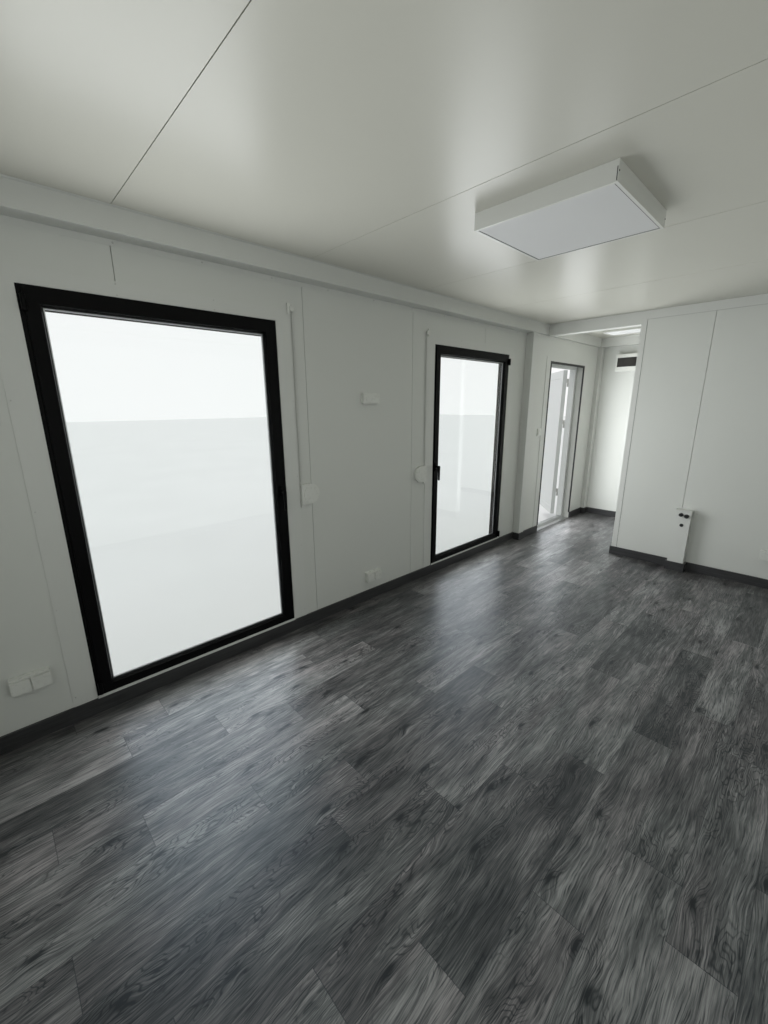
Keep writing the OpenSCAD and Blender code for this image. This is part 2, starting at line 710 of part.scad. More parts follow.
module offset_box() polygon([[casing_t, casing_t], [box_d - 55 - casing_t * 0.4, casing_t],
                            [box_d - casing_t, 55 + casing_t * 0.4], [box_d - casing_t, box_h - casing_t],
                            [casing_t, box_h - casing_t]]);

// Guide rail with a slot for the curtain's edge
module shutter_guides() color(steel_col)
    for (x = win_x, s = [0, 1])
        translate([x, -half_w - rib_h - fit, win_z - 10]) mirror([s, 0, 0]) translate([win_w / 2 + 2, 0, 0])
            linear_extrude(shutter_z - win_z + 10 - fit)
                polygon([[0, 0], [guide_w, 0], [guide_w, -guide_d], [0, -guide_d], [0, -guide_d + 4],
                         [guide_slot + 4, -guide_d + 4], [guide_slot + 4, -6], [0, -6]]);

// The rolled curtain, and its lowest slats and end bar hanging in the guides
module shutter_slats() color(steel_col)
    for (x = win_x)
        translate([x - win_w / 2 - guide_slot, -half_w - rib_h - fit - 15, shutter_z - slat_h]) {
            rotate([90, 0, 90]) linear_extrude(win_w + 2 * guide_slot) polygon(concat(
                [[-5, 0], [5, 0], [5, 50]], [for (k = [0:2], p = [[3, 0], [4, 12], [4, 30], [3, 38]])
                    [p[0], 52 + 40 * k + p[1]]],
                [for (k = [2:-1:0], p = [[-3, 38], [-1, 30], [-1, 12], [-3, 0]]) [p[0], 52 + 40 * k + p[1]]],
                [[-5, 50]]));
            translate([0, 15 - roll_y, slat_h + roll_z]) rotate([0, 90, 0])
                cylinder(h = win_w + 2 * guide_slot, r = roll_r);
            translate([casing_t + fit - (box_l - win_w) / 2 + guide_slot, 15 - roll_y, slat_h + roll_z])
                rotate([0, 90, 0]) cylinder(h = box_l - 2 * casing_t - 2 * fit, r = 12);
        }

// Strap winder: a rounded case with its flat side to the window, and a mounting bar
module strap_winders() color(white_col)
    for (i = [0, 1])
        translate([win_x[i], -in_w + fit, floor_z]) mirror([i, 0, 0]) {
            x0 = -win_w / 2 - strap_in;
            translate([x0 - winder_r + 6, 0, winder_z]) rotate([90, 0, 0]) mirror([0, 0, 1]) difference() {
                union() {
                    linear_extrude(26) {
                        circle(r = winder_r);
                        translate([0, -winder_r]) square([winder_r + 2, 2 * winder_r]);
                    }
                    translate([0, 0, 25]) cylinder(h = 4, r = winder_r - 12);
                }
                translate([winder_r - 16, winder_r - 40, 7]) cube([20, 60, 6]);
            }
            block([x0 - 10, 0, winder_z - winder_r - 20], [x0 + 8, 8, winder_z - winder_r + 1]);
            block([x0 + 14, trim_t + fit, strap_top - 18], [x0 + 34, trim_t + 9, strap_top + 42]);
            block([x0 - 8, trim_t + fit, strap_top], [x0 + 20, trim_t + 18, strap_top + 24]);
        }

module shutter_straps() color(white_col)
    for (i = [0, 1])
        translate([win_x[i], -in_w + fit + 9, floor_z]) mirror([i, 0, 0])
            block([-win_w / 2 - strap_in - 7, 0, winder_z + winder_r - 30],
                  [-win_w / 2 - strap_in + 7, 1.3, strap_top - fit]);

door_profile = [[0, 0], [door_bar - 15, 0], [door_bar - 15, leaf_t + leaf_gap], [door_bar, leaf_t + leaf_gap],
                [door_bar, leaf_t + leaf_gap + 22], [0, leaf_t + leaf_gap + 22]];

module door_frame() color(white_col)
    translate([door_x0 + fit, -half_w, floor_z + fit])
        mitred_frame(door_w - 2 * fit, door_h - 2 * fit, door_profile, 80, false);

module door_threshold() color([0.6, 0.6, 0.6]) {
    block([door_x0 + 2 * fit, -half_w, base_h + fit], [door_x1 - 2 * fit, -in_w, floor_z]);
    translate([door_x0 + door_bar + 2 * fit, 0, 0]) rotate([90, 0, 90])
        linear_extrude(door_w - 2 * door_bar - 4 * fit)
            polygon([[-half_w + 24, floor_z - 1], [-half_w + 28, floor_z + sill_h],
                     [-in_w - 12, floor_z + sill_h], [-in_w + 20, floor_z + 2], [-in_w + 20, floor_z - 1]]);
    block([door_x0 + 2 * fit, -in_w - 1, floor_z - cover_t], [door_x1 - 2 * fit, lining_y, floor_z + 2]);
}

// Barrels and pins fixed to the frame
module door_hinge_pins() color([0.75, 0.75, 0.76])
    for (z = hinge_z) {
        translate([pin_x, pin_y, z]) cylinder(h = hinge_h / 2, r = barrel_r);
        translate([pin_x, pin_y, z]) cylinder(h = hinge_h - 4, r = pin_r);
        translate([pin_x - 28, pin_y, z]) cube([28, barrel_r, hinge_h / 2]);
        translate([pin_x - 28, pin_y + barrel_r - 4, z])
            cube([28, pin_off - barrel_r + 4 - fit, hinge_h / 2]);
    }

// What follows moves with the leaf, which is drawn closed and turned about the pins
module opened() translate([pin_x, pin_y, 0]) rotate(-door_open) translate([-pin_x, -pin_y, 0]) children();

// Leaf of two pressed skins: raised stiles and rails round a flat field on each side
module door_leaf() color(white_col) opened()
    translate([pin_x + leaf_gap, -half_w, leaf_z]) difference() {
        cube([leaf_w, leaf_t, leaf_h]);
        for (s = [0, 1]) translate([0, s * leaf_t, 0]) mirror([0, s, 0]) leaf_field();
        block([leaf_w - 24, 8, lock_z - 130], [leaf_w + 1, leaf_t - 8, lock_z + 110]);
    }

// The sunk field of one side, with sloping edges
module leaf_field() {
    x1 = leaf_w - stile_w;
    z1 = leaf_h - stile_w;
    difference() {
        block([stile_w, -1, stile_w], [x1, 5, z1]);
        for (p = [[[stile_w, stile_w], 0, leaf_w], [[x1, stile_w], 90, leaf_h], [[x1, z1], 180, leaf_w],
                  [[stile_w, z1], 270, leaf_h]])
            translate([p[0][0], 0, p[0][1]]) rotate([0, -p[1], 0]) rotate([90, 0, 90])
                linear_extrude(2 * p[2], center = true) polygon([[0, -1], [0, 0], [5, 6], [6, 6], [6, -1]]);
    }
}

module door_hinge_wings() color([0.75, 0.75, 0.76]) opened()
    for (z = hinge_z) translate([pin_x, pin_y, z + hinge_h / 2 + 0.5]) difference() {
        union() {
            cylinder(h = hinge_h / 2, r = barrel_r);
            translate([0, barrel_r - 4, 0]) cube([40, pin_off - barrel_r + 4 - fit, hinge_h / 2]);
            cube([4, barrel_r, hinge_h / 2]);
        }
        translate([0, 0, -1]) cylinder(h = hinge_h / 2 - 3, r = pin_r + pin_clear);
    }

// Lever, long plate and cylinder on each side, and the latch and bolt in the leaf's edge
module door_handles() color(black_col) opened()
    translate([pin_x + leaf_gap + leaf_w - lock_in, 0, leaf_z + lock_z]) {
        for (s = [0, 1])
            translate([0, -half_w + s * leaf_t, 0]) mirror([0, s, 0]) translate([0, -fit, 0]) handle();
        block([lock_in - 24 + fit, -half_w + 8 + fit, -130 + fit],
              [lock_in - fit, -half_w + leaf_t - 8 - fit, 110 - fit]);
    }

module handle()
    rotate([90, 0, 0]) {
        translate([0, -40]) linear_extrude(8) rounded(36, 230, 10);
        cylinder(h = 46, r = 9);
        translate([0, 0, 44]) linear_extrude(13) {
            circle(r = 11);
            translate([-118, -9]) square([118, 18]);
            translate([-118, 0]) circle(r = 9);
        }
        translate([0, -82, 7]) cylinder(h = 5, r = 10);
    }

module lamp_housings() color(white_col)
    for (i = [0, 1]) translate([lamp_at[i][0], lamp_at[i][1], ceil_z - lamp_d]) difference() {
        block([-lamp_side[i] / 2, -lamp_w / 2, 0], [lamp_side[i] / 2, lamp_w / 2, lamp_d - fit]);
        block([-lamp_side[i] / 2 + lamp_edge, -lamp_w / 2 + lamp_edge, -1],
              [lamp_side[i] / 2 - lamp_edge, lamp_w / 2 - lamp_edge, 10]);
    }

module lamp_diffusers() color([0.85, 0.87, 0.92])
    for (i = [0, 1]) translate([lamp_at[i][0], lamp_at[i][1], ceil_z - lamp_d])
        block([-lamp_side[i] / 2 + lamp_edge + 1.5, -lamp_w / 2 + lamp_edge + 1.5, 2],
              [lamp_side[i] / 2 - lamp_edge - 1.5, lamp_w / 2 - lamp_edge - 1.5, 10 - fit]);

// Double socket with two covers, its back at y = 0
module socket_box() {
    rotate([90, 0, 0]) mirror([0, 0, 1]) {
        linear_extrude(32) rounded(socket_w, socket_h, 5);
        for (s = [-1, 1]) translate([s * socket_w / 4, -4, 31]) linear_extrude(9)
            rounded(socket_w / 2 - 6, socket_h - 16, 4);
        translate([0, socket_h / 2 - 6, 31]) linear_extrude(5) rounded(socket_w - 8, 8, 3);
    }
}

// Switch: a frame and a slightly raised rocker
module switch_box()
    rotate([90, 0, 0]) mirror([0, 0, 1]) {
        linear_extrude(10) rounded(socket_h, socket_h, 4);
        translate([0, 0, 9]) linear_extrude(5) rounded(0.7 * socket_h, 0.7 * socket_h, 2);
    }

// Low flat control box
module control_box()
    rotate([90, 0, 0]) mirror([0, 0, 1]) {
        linear_extrude(24) rounded(thermo_w, thermo_h, 6);
        translate([0, 0, 23]) linear_extrude(5) rounded(thermo_w - 10, thermo_h - 10, 4);
        translate([thermo_w / 4, 0, 27]) cylinder(h = 4, r = 17);
    }

module wall_boxes() color(white_col) {
    translate([half_l - socket_at, -in_w + fit, floor_z + socket_z[0]]) socket_box();
    translate([mid_x, -in_w + fit, floor_z + socket_z[1]]) socket_box();
    translate([part_x + fit, in_w - socket_off, floor_z + socket_z[2]]) rotate(-90) socket_box();
    translate([post_x - switch_off, lining_y + fit, floor_z + switch_z]) switch_box();
    translate([mid_x, -in_w + fit, floor_z + control_z]) control_box();
}

// Casing round the pipes by the partition, with a lid and two holes for the stubs
module pipe_box() color(white_col)
    translate([part_x + fit, pipe_y, floor_z + fit]) difference() {
        union() {
            block([0, -pipe_box_w / 2, 0], [pipe_box_d, pipe_box_w / 2, pipe_box_h - 5]);
            block([0, -pipe_box_w / 2 - 3, pipe_box_h - 5.1],
                  [pipe_box_d + 3, pipe_box_w / 2 + 3, pipe_box_h]);
        }
        block([-1, -pipe_box_w / 2 + pipe_t, -1],
              [pipe_box_d - pipe_t, pipe_box_w / 2 - pipe_t, pipe_box_h - 5]);
        for (p = pipe_holes) translate([pipe_box_d - 2 * pipe_t, p[0], p[1]]) rotate([0, 90, 0])
            cylinder(h = 3 * pipe_t, r = p[2] + fit);
    }

pipe_holes = [[-pipe_box_w / 2 + 49, pipe_box_h - 42, 13], [pipe_box_w / 2 - 32, pipe_box_h - 50, 14],
              [2, pipe_box_h - 139, 11]];

// Two capped pipe ends and a plugged one
module pipe_stubs() color(black_col)
    translate([part_x + fit, pipe_y, floor_z + fit]) for (p = pipe_holes)
        translate([pipe_box_d - 30, p[0], p[1]]) rotate([0, 90, 0]) {
            cylinder(h = p[2] > 12 ? 52 : 33, r = p[2]);
            translate([0, 0, 30 + fit]) cylinder(h = p[2] > 12 ? 14 : 4, r = p[2] + 4);
        }

// Fuse box on the far end wall: a housing with a sunk window
module fuse_box() color(white_col)
    translate([-in_l + fit, -in_w + fuse_off, floor_z + fuse_z]) difference() {
        union() {
            block([0, 0, 0], [fuse_d - 30, fuse_w, fuse_h]);
            block([0, 8, 8], [fuse_d, fuse_w - 8, fuse_h - 8]);
        }
        block([fuse_d - 14, 26, 54], [fuse_d + 1, fuse_w - 26, fuse_h - 50]);
        block([fuse_d - 50, 40, 66], [fuse_d + 1, fuse_w - 40, fuse_h - 62]);
    }

module fuse_box_window() color(black_col)
    translate([-in_l + fit, -in_w + fuse_off, floor_z + fuse_z])
        block([fuse_d - 14 + fit, 26 + fit, 54 + fit], [fuse_d - 9, fuse_w - 26 - fit, fuse_h - 50 - fit]);

base_frame();
cross_members();
floor_deck();
floor_covering();
corner_posts();
roof_frame();
roof_sheet();
ceiling_panels();
front_wall();
rear_wall();
near_end_wall();
far_end_wall();
entrance_wall_left();
entrance_wall_right();
entrance_wall_over();
entrance_post();
partition_wall();
partition_trim();
cornices();
casings();
skirting_boards();
window_frames();
window_sashes();
window_glass();
window_fittings();
window_sills();
opening_trims();
shutter_boxes();
shutter_guides();
shutter_slats();
strap_winders();
shutter_straps();
door_frame();
door_threshold();
door_hinge_pins();
door_leaf();
door_hinge_wings();
door_handles();
lamp_housings();
lamp_diffusers();
wall_boxes();
pipe_box();
pipe_stubs();
fuse_box();
fuse_box_window();
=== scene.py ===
"""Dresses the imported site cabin: camera, light, materials and the small fittings that the solids lack.

Lengths are metres in the cabin's own frame: X along it, Y across it with the window wall at -Y, Z up.
"""
import math

import bmesh
import bpy
from mathutils import Matrix, Vector


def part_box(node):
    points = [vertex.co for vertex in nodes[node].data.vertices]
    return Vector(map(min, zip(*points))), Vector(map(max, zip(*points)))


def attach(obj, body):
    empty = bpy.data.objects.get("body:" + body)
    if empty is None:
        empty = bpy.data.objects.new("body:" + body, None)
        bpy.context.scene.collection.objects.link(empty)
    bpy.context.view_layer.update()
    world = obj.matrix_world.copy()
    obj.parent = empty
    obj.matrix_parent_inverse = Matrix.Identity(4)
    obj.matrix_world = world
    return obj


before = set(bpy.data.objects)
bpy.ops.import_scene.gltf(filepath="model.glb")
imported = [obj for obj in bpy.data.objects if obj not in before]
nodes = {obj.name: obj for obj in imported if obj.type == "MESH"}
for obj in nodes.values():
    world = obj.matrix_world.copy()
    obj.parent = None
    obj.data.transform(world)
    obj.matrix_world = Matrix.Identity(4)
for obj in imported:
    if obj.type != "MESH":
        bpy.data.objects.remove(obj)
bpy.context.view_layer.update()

# Places read from the frame
floor_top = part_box("floor_covering")[1].z
ceiling_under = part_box("ceiling_panels")[0].z
front_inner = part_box("front_wall")[1].y
front_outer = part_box("front_wall")[0].y
rear_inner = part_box("rear_wall")[0].y
near_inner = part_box("near_end_wall")[0].x
far_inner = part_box("far_end_wall")[1].x
lining_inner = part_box("entrance_wall_left")[1].y


# Camera

camera_place = Vector((2.87, 0.96, floor_top + 1.5303))
camera_lens = 14.716
camera_yaw = math.radians(46.293)
camera_pitch = math.radians(14.327)
camera_roll = math.radians(0.324)


def make_camera():
    """The photograph's camera: inside near one corner, looking along the cabin and across to the windows."""
    level = Vector((-math.cos(camera_yaw), -math.sin(camera_yaw), 0))
    ahead = level * math.cos(camera_pitch) - Vector((0, 0, math.sin(camera_pitch)))
    right = Vector((-math.sin(camera_yaw), math.cos(camera_yaw), 0))
    down = ahead.cross(right)
    turned_right = right * math.cos(camera_roll) + down * math.sin(camera_roll)
    turned_down = down * math.cos(camera_roll) - right * math.sin(camera_roll)
    turn = Matrix((turned_right, -turned_down, -ahead)).transposed()
    data = bpy.data.cameras.new("camera")
    data.lens = camera_lens
    data.sensor_width = 36
    data.clip_start = 0.02
    data.clip_end = 200
    camera = bpy.data.objects.new("camera", data)
    camera.matrix_world = Matrix.Translation(camera_place) @ turn.to_4x4()
    bpy.context.scene.collection.objects.link(camera)
    bpy.context.scene.camera = camera


# Node materials

class Surface:
    """One material, built node by node. Coordinates are metres in the cabin's frame."""

    def __init__(self, name):
        self.material = bpy.data.materials.new(name)
        self.material.use_nodes = True
        self.nodes = self.material.node_tree.nodes
        self.links = self.material.node_tree.links
        self.shader = self.nodes["Principled BSDF"]
        self.output = self.nodes["Material Output"]
        self.place = self.nodes.new("ShaderNodeTexCoord").outputs["Object"]

    def put(self, socket, value):
        """Links an output to an input, or sets the input to a plain value."""
        if isinstance(value, bpy.types.NodeSocket):
            self.links.new(value, socket)
        elif socket.type == "RGBA" and len(value) == 3:
            socket.default_value = (*value, 1)
        else:
            socket.default_value = value

    def set(self, **values):
        """Sets the main shader's sockets, named in words with underscores."""
        for name, value in values.items():
            self.put(self.shader.inputs[name.replace("_", " ")], value)

    def math(self, operation, *values):
        node = self.nodes.new("ShaderNodeMath")
        node.operation = operation
        for socket, value in zip(node.inputs, values):
            self.put(socket, value)
        return node.outputs[0]

    def stretched(self, scale, source=None):
        """The place with each axis multiplied by its own factor."""
        node = self.nodes.new("ShaderNodeVectorMath")
        node.operation = "MULTIPLY"
        self.put(node.inputs[0], source or self.place)
        node.inputs[1].default_value = scale
        return node.outputs[0]

    def moved(self, source, offset):
        node = self.nodes.new("ShaderNodeVectorMath")
        self.put(node.inputs[0], source)
        self.put(node.inputs[1], offset)
        return node.outputs[0]

    def axes(self, source=None):
        node = self.nodes.new("ShaderNodeSeparateXYZ")
        self.put(node.inputs[0], source or self.place)
        return node.outputs[0], node.outputs[1], node.outputs[2]

    def vector(self, x, y, z):
        node = self.nodes.new("ShaderNodeCombineXYZ")
        for socket, value in zip(node.inputs, (x, y, z)):
            self.put(socket, value)
        return node.outputs[0]

    def noise(self, scale, detail=3, roughness=0.5, source=None):
        node = self.nodes.new("ShaderNodeTexNoise")
        self.put(node.inputs["Vector"], source or self.place)
        node.inputs["Scale"].default_value = scale
        node.inputs["Detail"].default_value = detail
        node.inputs["Roughness"].default_value = roughness
        return node.outputs["Fac"]

    def streaks(self, scale, detail, roughness=0.5, source=None):
        """Noise with its own number of waves a metre on each axis."""
        return self.noise(1.0, detail, roughness, self.stretched(scale, source))

    def less(self, value, *parts):
        """A value with others taken off it."""
        for part in parts:
            value = self.math("SUBTRACT", value, part)
        return value

    def ramp(self, value, *stops, mode="LINEAR"):
        """A colour or grey ramp from (position, colour) stops."""
        node = self.nodes.new("ShaderNodeValToRGB")
        node.color_ramp.interpolation = mode
        elements = node.color_ramp.elements
        while len(elements) < len(stops):
            elements.new(0.5)
        for element, (position, colour) in zip(elements, stops):
            element.position = position
            element.color = (colour, colour, colour, 1) if isinstance(colour, float) else (*colour, 1)
        self.put(node.inputs[0], value)
        return node.outputs[0]

    def summed(self, *parts):
        """A half, plus each value's distance from a half times its weight."""
        total = 0.5
        for value, weight in parts:
            part = self.math("MULTIPLY", self.math("SUBTRACT", value, 0.5), weight)
            total = self.math("ADD", total, part)
        return total

    def spread(self, value, low, high, to_low, to_high):
        node = self.nodes.new("ShaderNodeMapRange")
        for socket, number in zip(node.inputs, (value, low, high, to_low, to_high)):
            self.put(socket, number)
        return node.outputs[0]

    def blend(self, factor, first, second, mode="MIX"):
        node = self.nodes.new("ShaderNodeMix")
        node.data_type = "RGBA"
        node.blend_type = mode
        self.put(node.inputs["Factor"], factor)
        self.put(node.inputs[6], first)
        self.put(node.inputs[7], second)
        return node.outputs[2]

    def bump(self, height, distance):
        node = self.nodes.new("ShaderNodeBump")
        self.put(node.inputs["Height"], height)
        node.inputs["Distance"].default_value = distance
        self.links.new(node.outputs[0], self.shader.inputs["Normal"])


def darker(colour, share=0.97):
    """A colour with every channel brought down by the same share."""
    return tuple(c * share for c in colour)


def coated_sheet(name, colour, rough):
    """Sheet steel with a coil coating: nearly even, with faint cloudy marks in colour and gloss."""
    s = Surface(name)
    cloud = s.noise(0.8, 1, 0.4)
    marks = s.noise(1.6, 1, 0.4, s.stretched((1.0, 1.0, 0.4)))
    s.set(
        Base_Color=s.ramp(cloud, (0.2, darker(colour)), (0.8, colour)),
        Roughness=s.spread(marks, 0.2, 0.8, rough - 0.02, rough + 0.03),
    )
    return s


def wall_skin():
    """Sandwich panel skin, with a very faint orange peel."""
    s = coated_sheet("wall_skin", (0.640, 0.652, 0.618), 0.40)
    s.bump(s.noise(300.0, 2), 0.00003)
    return s.material


def ceiling_skin():
    """The glossier skin of the ceiling panels: long soft reflections, slightly wavy along each panel."""
    # The ceiling's colour is the walls' white made darker and warmer: painted shade, and painted warm light
    # bounced up from the ground outside.
    s = coated_sheet("ceiling_skin", (0.520, 0.515, 0.457), 0.30)
    s.bump(s.streaks((2.2, 0.6, 1.0), 0, 0.4), 0.0012)
    return s.material


def painted(name, colour, rough, grain=600.0, depth=0.00001):
    """Painted or powder coated metal with a fine texture and slightly uneven gloss."""
    s = Surface(name)
    cloud = s.noise(1.5, 1, 0.4)
    s.set(
        Base_Color=s.ramp(cloud, (0.2, darker(colour)), (0.8, colour)),
        Roughness=s.spread(s.noise(2.5, 1, 0.4), 0.2, 0.8, rough - 0.02, rough + 0.03),
    )
    s.bump(s.noise(grain, 1), depth)
    return s


def moulded(name, colour, rough):
    """Moulded plastic: an even colour with a very fine spark-eroded grain."""
    s = Surface(name)
    s.set(
        Base_Color=s.ramp(s.noise(8.0, 3), (0.3, darker(colour)), (0.7, colour)),
        Roughness=s.spread(s.noise(60.0, 3), 0.3, 0.7, rough - 0.03, rough + 0.05),
    )
    s.bump(s.noise(1800.0, 1), 0.00002)
    return s


# Floor planks, measured on the floor of the photograph
plank_width = 0.1673
plank_length = 0.996
plank_rows_from = -1.284
plank_joints_from = 2.87
plank_row_shifts = (0.458, 0.253, 0.627, 0.944, 0.205, 0.570)
plank_repeat_shift = 0.476
plank_seam = 0.0012


def plank_lot(s, row, plank):
    """A random colour and value for each plank."""
    lot = s.nodes.new("ShaderNodeTexWhiteNoise")
    lot.noise_dimensions = "2D"
    s.put(lot.inputs["Vector"], s.vector(row, plank, 0.0))
    return lot.outputs["Color"], lot.outputs["Value"]


def plank_rows(s):
    """How far each point lies across and along the planks, in planks, with each row's own stagger."""
    x, y, z = s.axes()
    rows = float(len(plank_row_shifts))
    across = s.math("DIVIDE", s.math("SUBTRACT", y, plank_rows_from), plank_width)
    row = s.math("FLOOR", across)
    group = s.math("FLOOR", s.math("DIVIDE", row, rows))
    step = s.math("SUBTRACT", row, s.math("MULTIPLY", group, rows))
    stops = [(i / rows, shift) for i, shift in enumerate(plank_row_shifts)]
    shift = s.ramp(s.math("DIVIDE", s.math("ADD", step, 0.5), rows), *stops, mode="CONSTANT")
    shift = s.math("ADD", shift, s.math("MULTIPLY", group, plank_repeat_shift))
    along = s.math("ADD", s.math("DIVIDE", s.math("SUBTRACT", x, plank_joints_from), plank_length), shift)
    return across, along


# Knots of the print: how many a metre along and across, and how fast their swell and core fade
knots_a_metre = (1.8, 5.2, 0.0)
swell_fade = -50.0
core_fade = -600.0

# Ring lines of the print: one at every second turn, with turns counted across the planks and bent by noise
turns_a_metre = 150.0
turns_bent = 34.0


def oak_grain(s, place):
    """Oak print: long fine fibres, patches of ring lines, and small knots that both part round."""
    x, y, z = s.axes(place)
    knots = s.nodes.new("ShaderNodeTexVoronoi")
    knots.voronoi_dimensions = "2D"
    s.put(knots.inputs["Vector"], s.stretched(knots_a_metre, place))
    knots.inputs["Scale"].default_value = 1.0
    away = knots.outputs["Distance"]
    away_squared = s.math("MULTIPLY", away, away)
    swell = s.math("POWER", math.e, s.math("MULTIPLY", away_squared, swell_fade))
    core = s.math("POWER", math.e, s.math("MULTIPLY", away_squared, core_fade))
    slow = s.less(s.streaks((1.6, 6.0, 1.0), 3, 0.5, place), 0.5)
    quick = s.less(s.streaks((11.0, 22.0, 1.0), 2, 0.5, place), 0.5)
    bent = s.math("ADD", y, s.math("MULTIPLY", slow, 0.08))
    bent = s.math("ADD", bent, s.math("MULTIPLY", quick, 0.007))
    bent = s.math("ADD", bent, s.math("MULTIPLY", swell, 0.020))

    def along_fibres(length_scale, width_scale, detail, roughness, seed):
        across = s.math("MULTIPLY", bent, width_scale)
        source = s.vector(s.math("MULTIPLY", x, length_scale), across, seed)
        return s.noise(1.0, detail, roughness, source)

    fibres = along_fibres(6.5, 230.0, 3, 0.66, 0.0)
    bands = along_fibres(3.2, 30.0, 5, 0.66, 3.0)
    cracks = along_fibres(11.0, 260.0, 1, 0.5, 7.0)
    drift = s.streaks((4.5, 14.0, 1.0), 2, 0.5, place)
    turns = s.math("ADD", s.math("MULTIPLY", bent, turns_a_metre), s.math("MULTIPLY", drift, turns_bent))
    rings = s.spread(s.math("PINGPONG", turns, 1.0), 0.0, 0.4, 1.0, 0.0)
    return fibres, bands, cracks, rings, swell, core


def floor_vinyl():
    """Sheet vinyl printed and embossed as dark grey oak planks, in six staggered rows that repeat."""
    s = Surface("floor_vinyl")
    across, along = plank_rows(s)
    colour_draw, value_draw = plank_lot(s, s.math("FLOOR", across), s.math("FLOOR", along))
    place = s.moved(s.place, s.stretched((13.0, 5.0, 0.0), colour_draw))
    fibres, bands, cracks, rings, swell, core = oak_grain(s, place)
    cloud = s.streaks((3.0, 9.0, 1.0), 3, 0.6, place)
    patches = s.spread(s.streaks((2.0, 7.0, 1.0), 2, 0.5, place), 0.50, 0.60, 0.0, 1.0)
    ring_share = s.math("MAXIMUM", patches, swell)

    tone = s.summed((fibres, 0.64), (bands, 0.46), (cloud, 0.36), (value_draw, 0.14))
    tone = s.less(
        tone,
        s.math("MULTIPLY", s.math("MULTIPLY", rings, ring_share), 0.17),
        s.math("MULTIPLY", core, 0.30),
        s.math("MULTIPLY", swell, 0.03),
        s.spread(cracks, 0.61, 0.69, 0.0, 0.18),
    )
    grey = s.ramp(
        tone,
        (0.26, (0.013, 0.0125, 0.012)),
        (0.40, (0.045, 0.044, 0.043)),
        (0.52, (0.102, 0.100, 0.098)),
        (0.70, (0.262, 0.256, 0.250)),
    )
    hue = s.streaks((1.4, 5.0, 1.0), 2, 0.5, place)
    tint = s.ramp(hue, (0.38, (0.975, 1.005, 1.0)), (0.62, (1.02, 0.99, 1.0)))
    colour = s.blend(1.0, grey, tint, "MULTIPLY")

    side = s.math("PINGPONG", across, 0.5)
    end = s.math("PINGPONG", along, 0.5)
    side_gap = s.math("LESS_THAN", side, plank_seam / plank_width)
    end_gap = s.math("LESS_THAN", end, plank_seam / plank_length)
    seam = s.math("MAXIMUM", side_gap, end_gap)
    s.set(
        Base_Color=s.blend(s.math("MULTIPLY", seam, 0.6), colour, (0.012, 0.012, 0.012)),
        Roughness=s.spread(fibres, 0.3, 0.7, 0.31, 0.40),
        # The blue tint of the floor's gloss is a painted reflection of blue sky, not a colour of the vinyl.
        Specular_Tint=(0.64, 0.82, 1.0, 1.0),
    )
    s.bump(s.less(fibres, seam), 0.00015)
    return s.material


def skirting():
    """Dark grey PVC skirting with a faint grain along it."""
    s = Surface("skirting")
    grain = s.streaks((6.0, 6.0, 160.0), 5, 0.65)
    s.set(
        Base_Color=s.ramp(grain, (0.3, (0.022, 0.022, 0.023)), (0.75, (0.055, 0.055, 0.057))),
        Roughness=0.42,
    )
    s.bump(grain, 0.00012)
    return s.material


def window_black():
    """Black window profile with a fine leather-like foil grain."""
    s = Surface("window_black")
    cloud = s.noise(4.0, 3)
    s.set(
        Base_Color=s.ramp(cloud, (0.3, (0.0018, 0.0018, 0.0020)), (0.7, (0.0030, 0.0030, 0.0033))),
        Roughness=s.spread(s.noise(8.0, 1), 0.3, 0.7, 0.38, 0.44),
        Specular_IOR_Level=0.10,
    )
    s.bump(s.noise(700.0, 2), 0.00003)
    return s.material


def glass():
    """Clear double glazing with a faint green edge, which lets lamps through."""
    s = Surface("glass")
    s.set(
        Base_Color=s.ramp(s.noise(0.8, 2), (0.2, (0.93, 0.97, 0.96)), (0.8, (0.96, 0.985, 0.98))),
        Roughness=0.0,
        IOR=1.45,
        Transmission_Weight=1.0,
    )
    clear = s.nodes.new("ShaderNodeBsdfTransparent")
    clear.inputs[0].default_value = (0.94, 0.97, 0.96, 1)
    path = s.nodes.new("ShaderNodeLightPath")
    mix = s.nodes.new("ShaderNodeMixShader")
    s.links.new(path.outputs["Is Shadow Ray"], mix.inputs[0])
    s.links.new(s.shader.outputs[0], mix.inputs[1])
    s.links.new(clear.outputs[0], mix.inputs[2])
    s.links.new(mix.outputs[0], s.output.inputs["Surface"])
    return s.material


def strap():
    """Woven polyester shutter strap: ribs across and two fine stripes along."""
    s = Surface("strap")
    x, y, z = s.axes()
    ribs = s.math("SINE", s.math("MULTIPLY", z, 2600.0))
    cords = s.math("SINE", s.math("MULTIPLY", x, 5200.0))
    weave = s.math("MULTIPLY", ribs, cords)
    s.set(Base_Color=s.ramp(weave, (0.2, (0.57, 0.58, 0.55)), (0.9, (0.67, 0.68, 0.65))), Roughness=0.85)
    s.bump(weave, 0.0003)
    return s.material


def diffuser():
    """Opal lamp cover with a fine prismatic grid."""
    s = Surface("diffuser")
    x, y, z = s.axes()
    along = s.math("SINE", s.math("MULTIPLY", x, 800.0))
    across = s.math("SINE", s.math("MULTIPLY", y, 800.0))
    s.set(
        Base_Color=s.ramp(s.noise(1.5, 2), (0.3, (0.60, 0.605, 0.60)), (0.7, (0.63, 0.635, 0.63))),
        Roughness=0.5,
    )
    s.bump(s.math("MULTIPLY", along, across), 0.0004)
    return s.material


def bare_metal(name, colour, rough, along=(1.0, 40.0, 40.0)):
    """Brushed or drawn metal with a grain along one axis."""
    s = Surface(name)
    grain = s.noise(18.0, 5, 0.6, s.stretched(along))
    s.set(
        Base_Color=s.ramp(grain, (0.3, darker(colour, 0.85)), (0.75, colour)),
        Metallic=1.0,
        Roughness=s.spread(grain, 0.3, 0.7, rough - 0.06, rough + 0.1),
    )
    s.bump(grain, 0.00004)
    return s


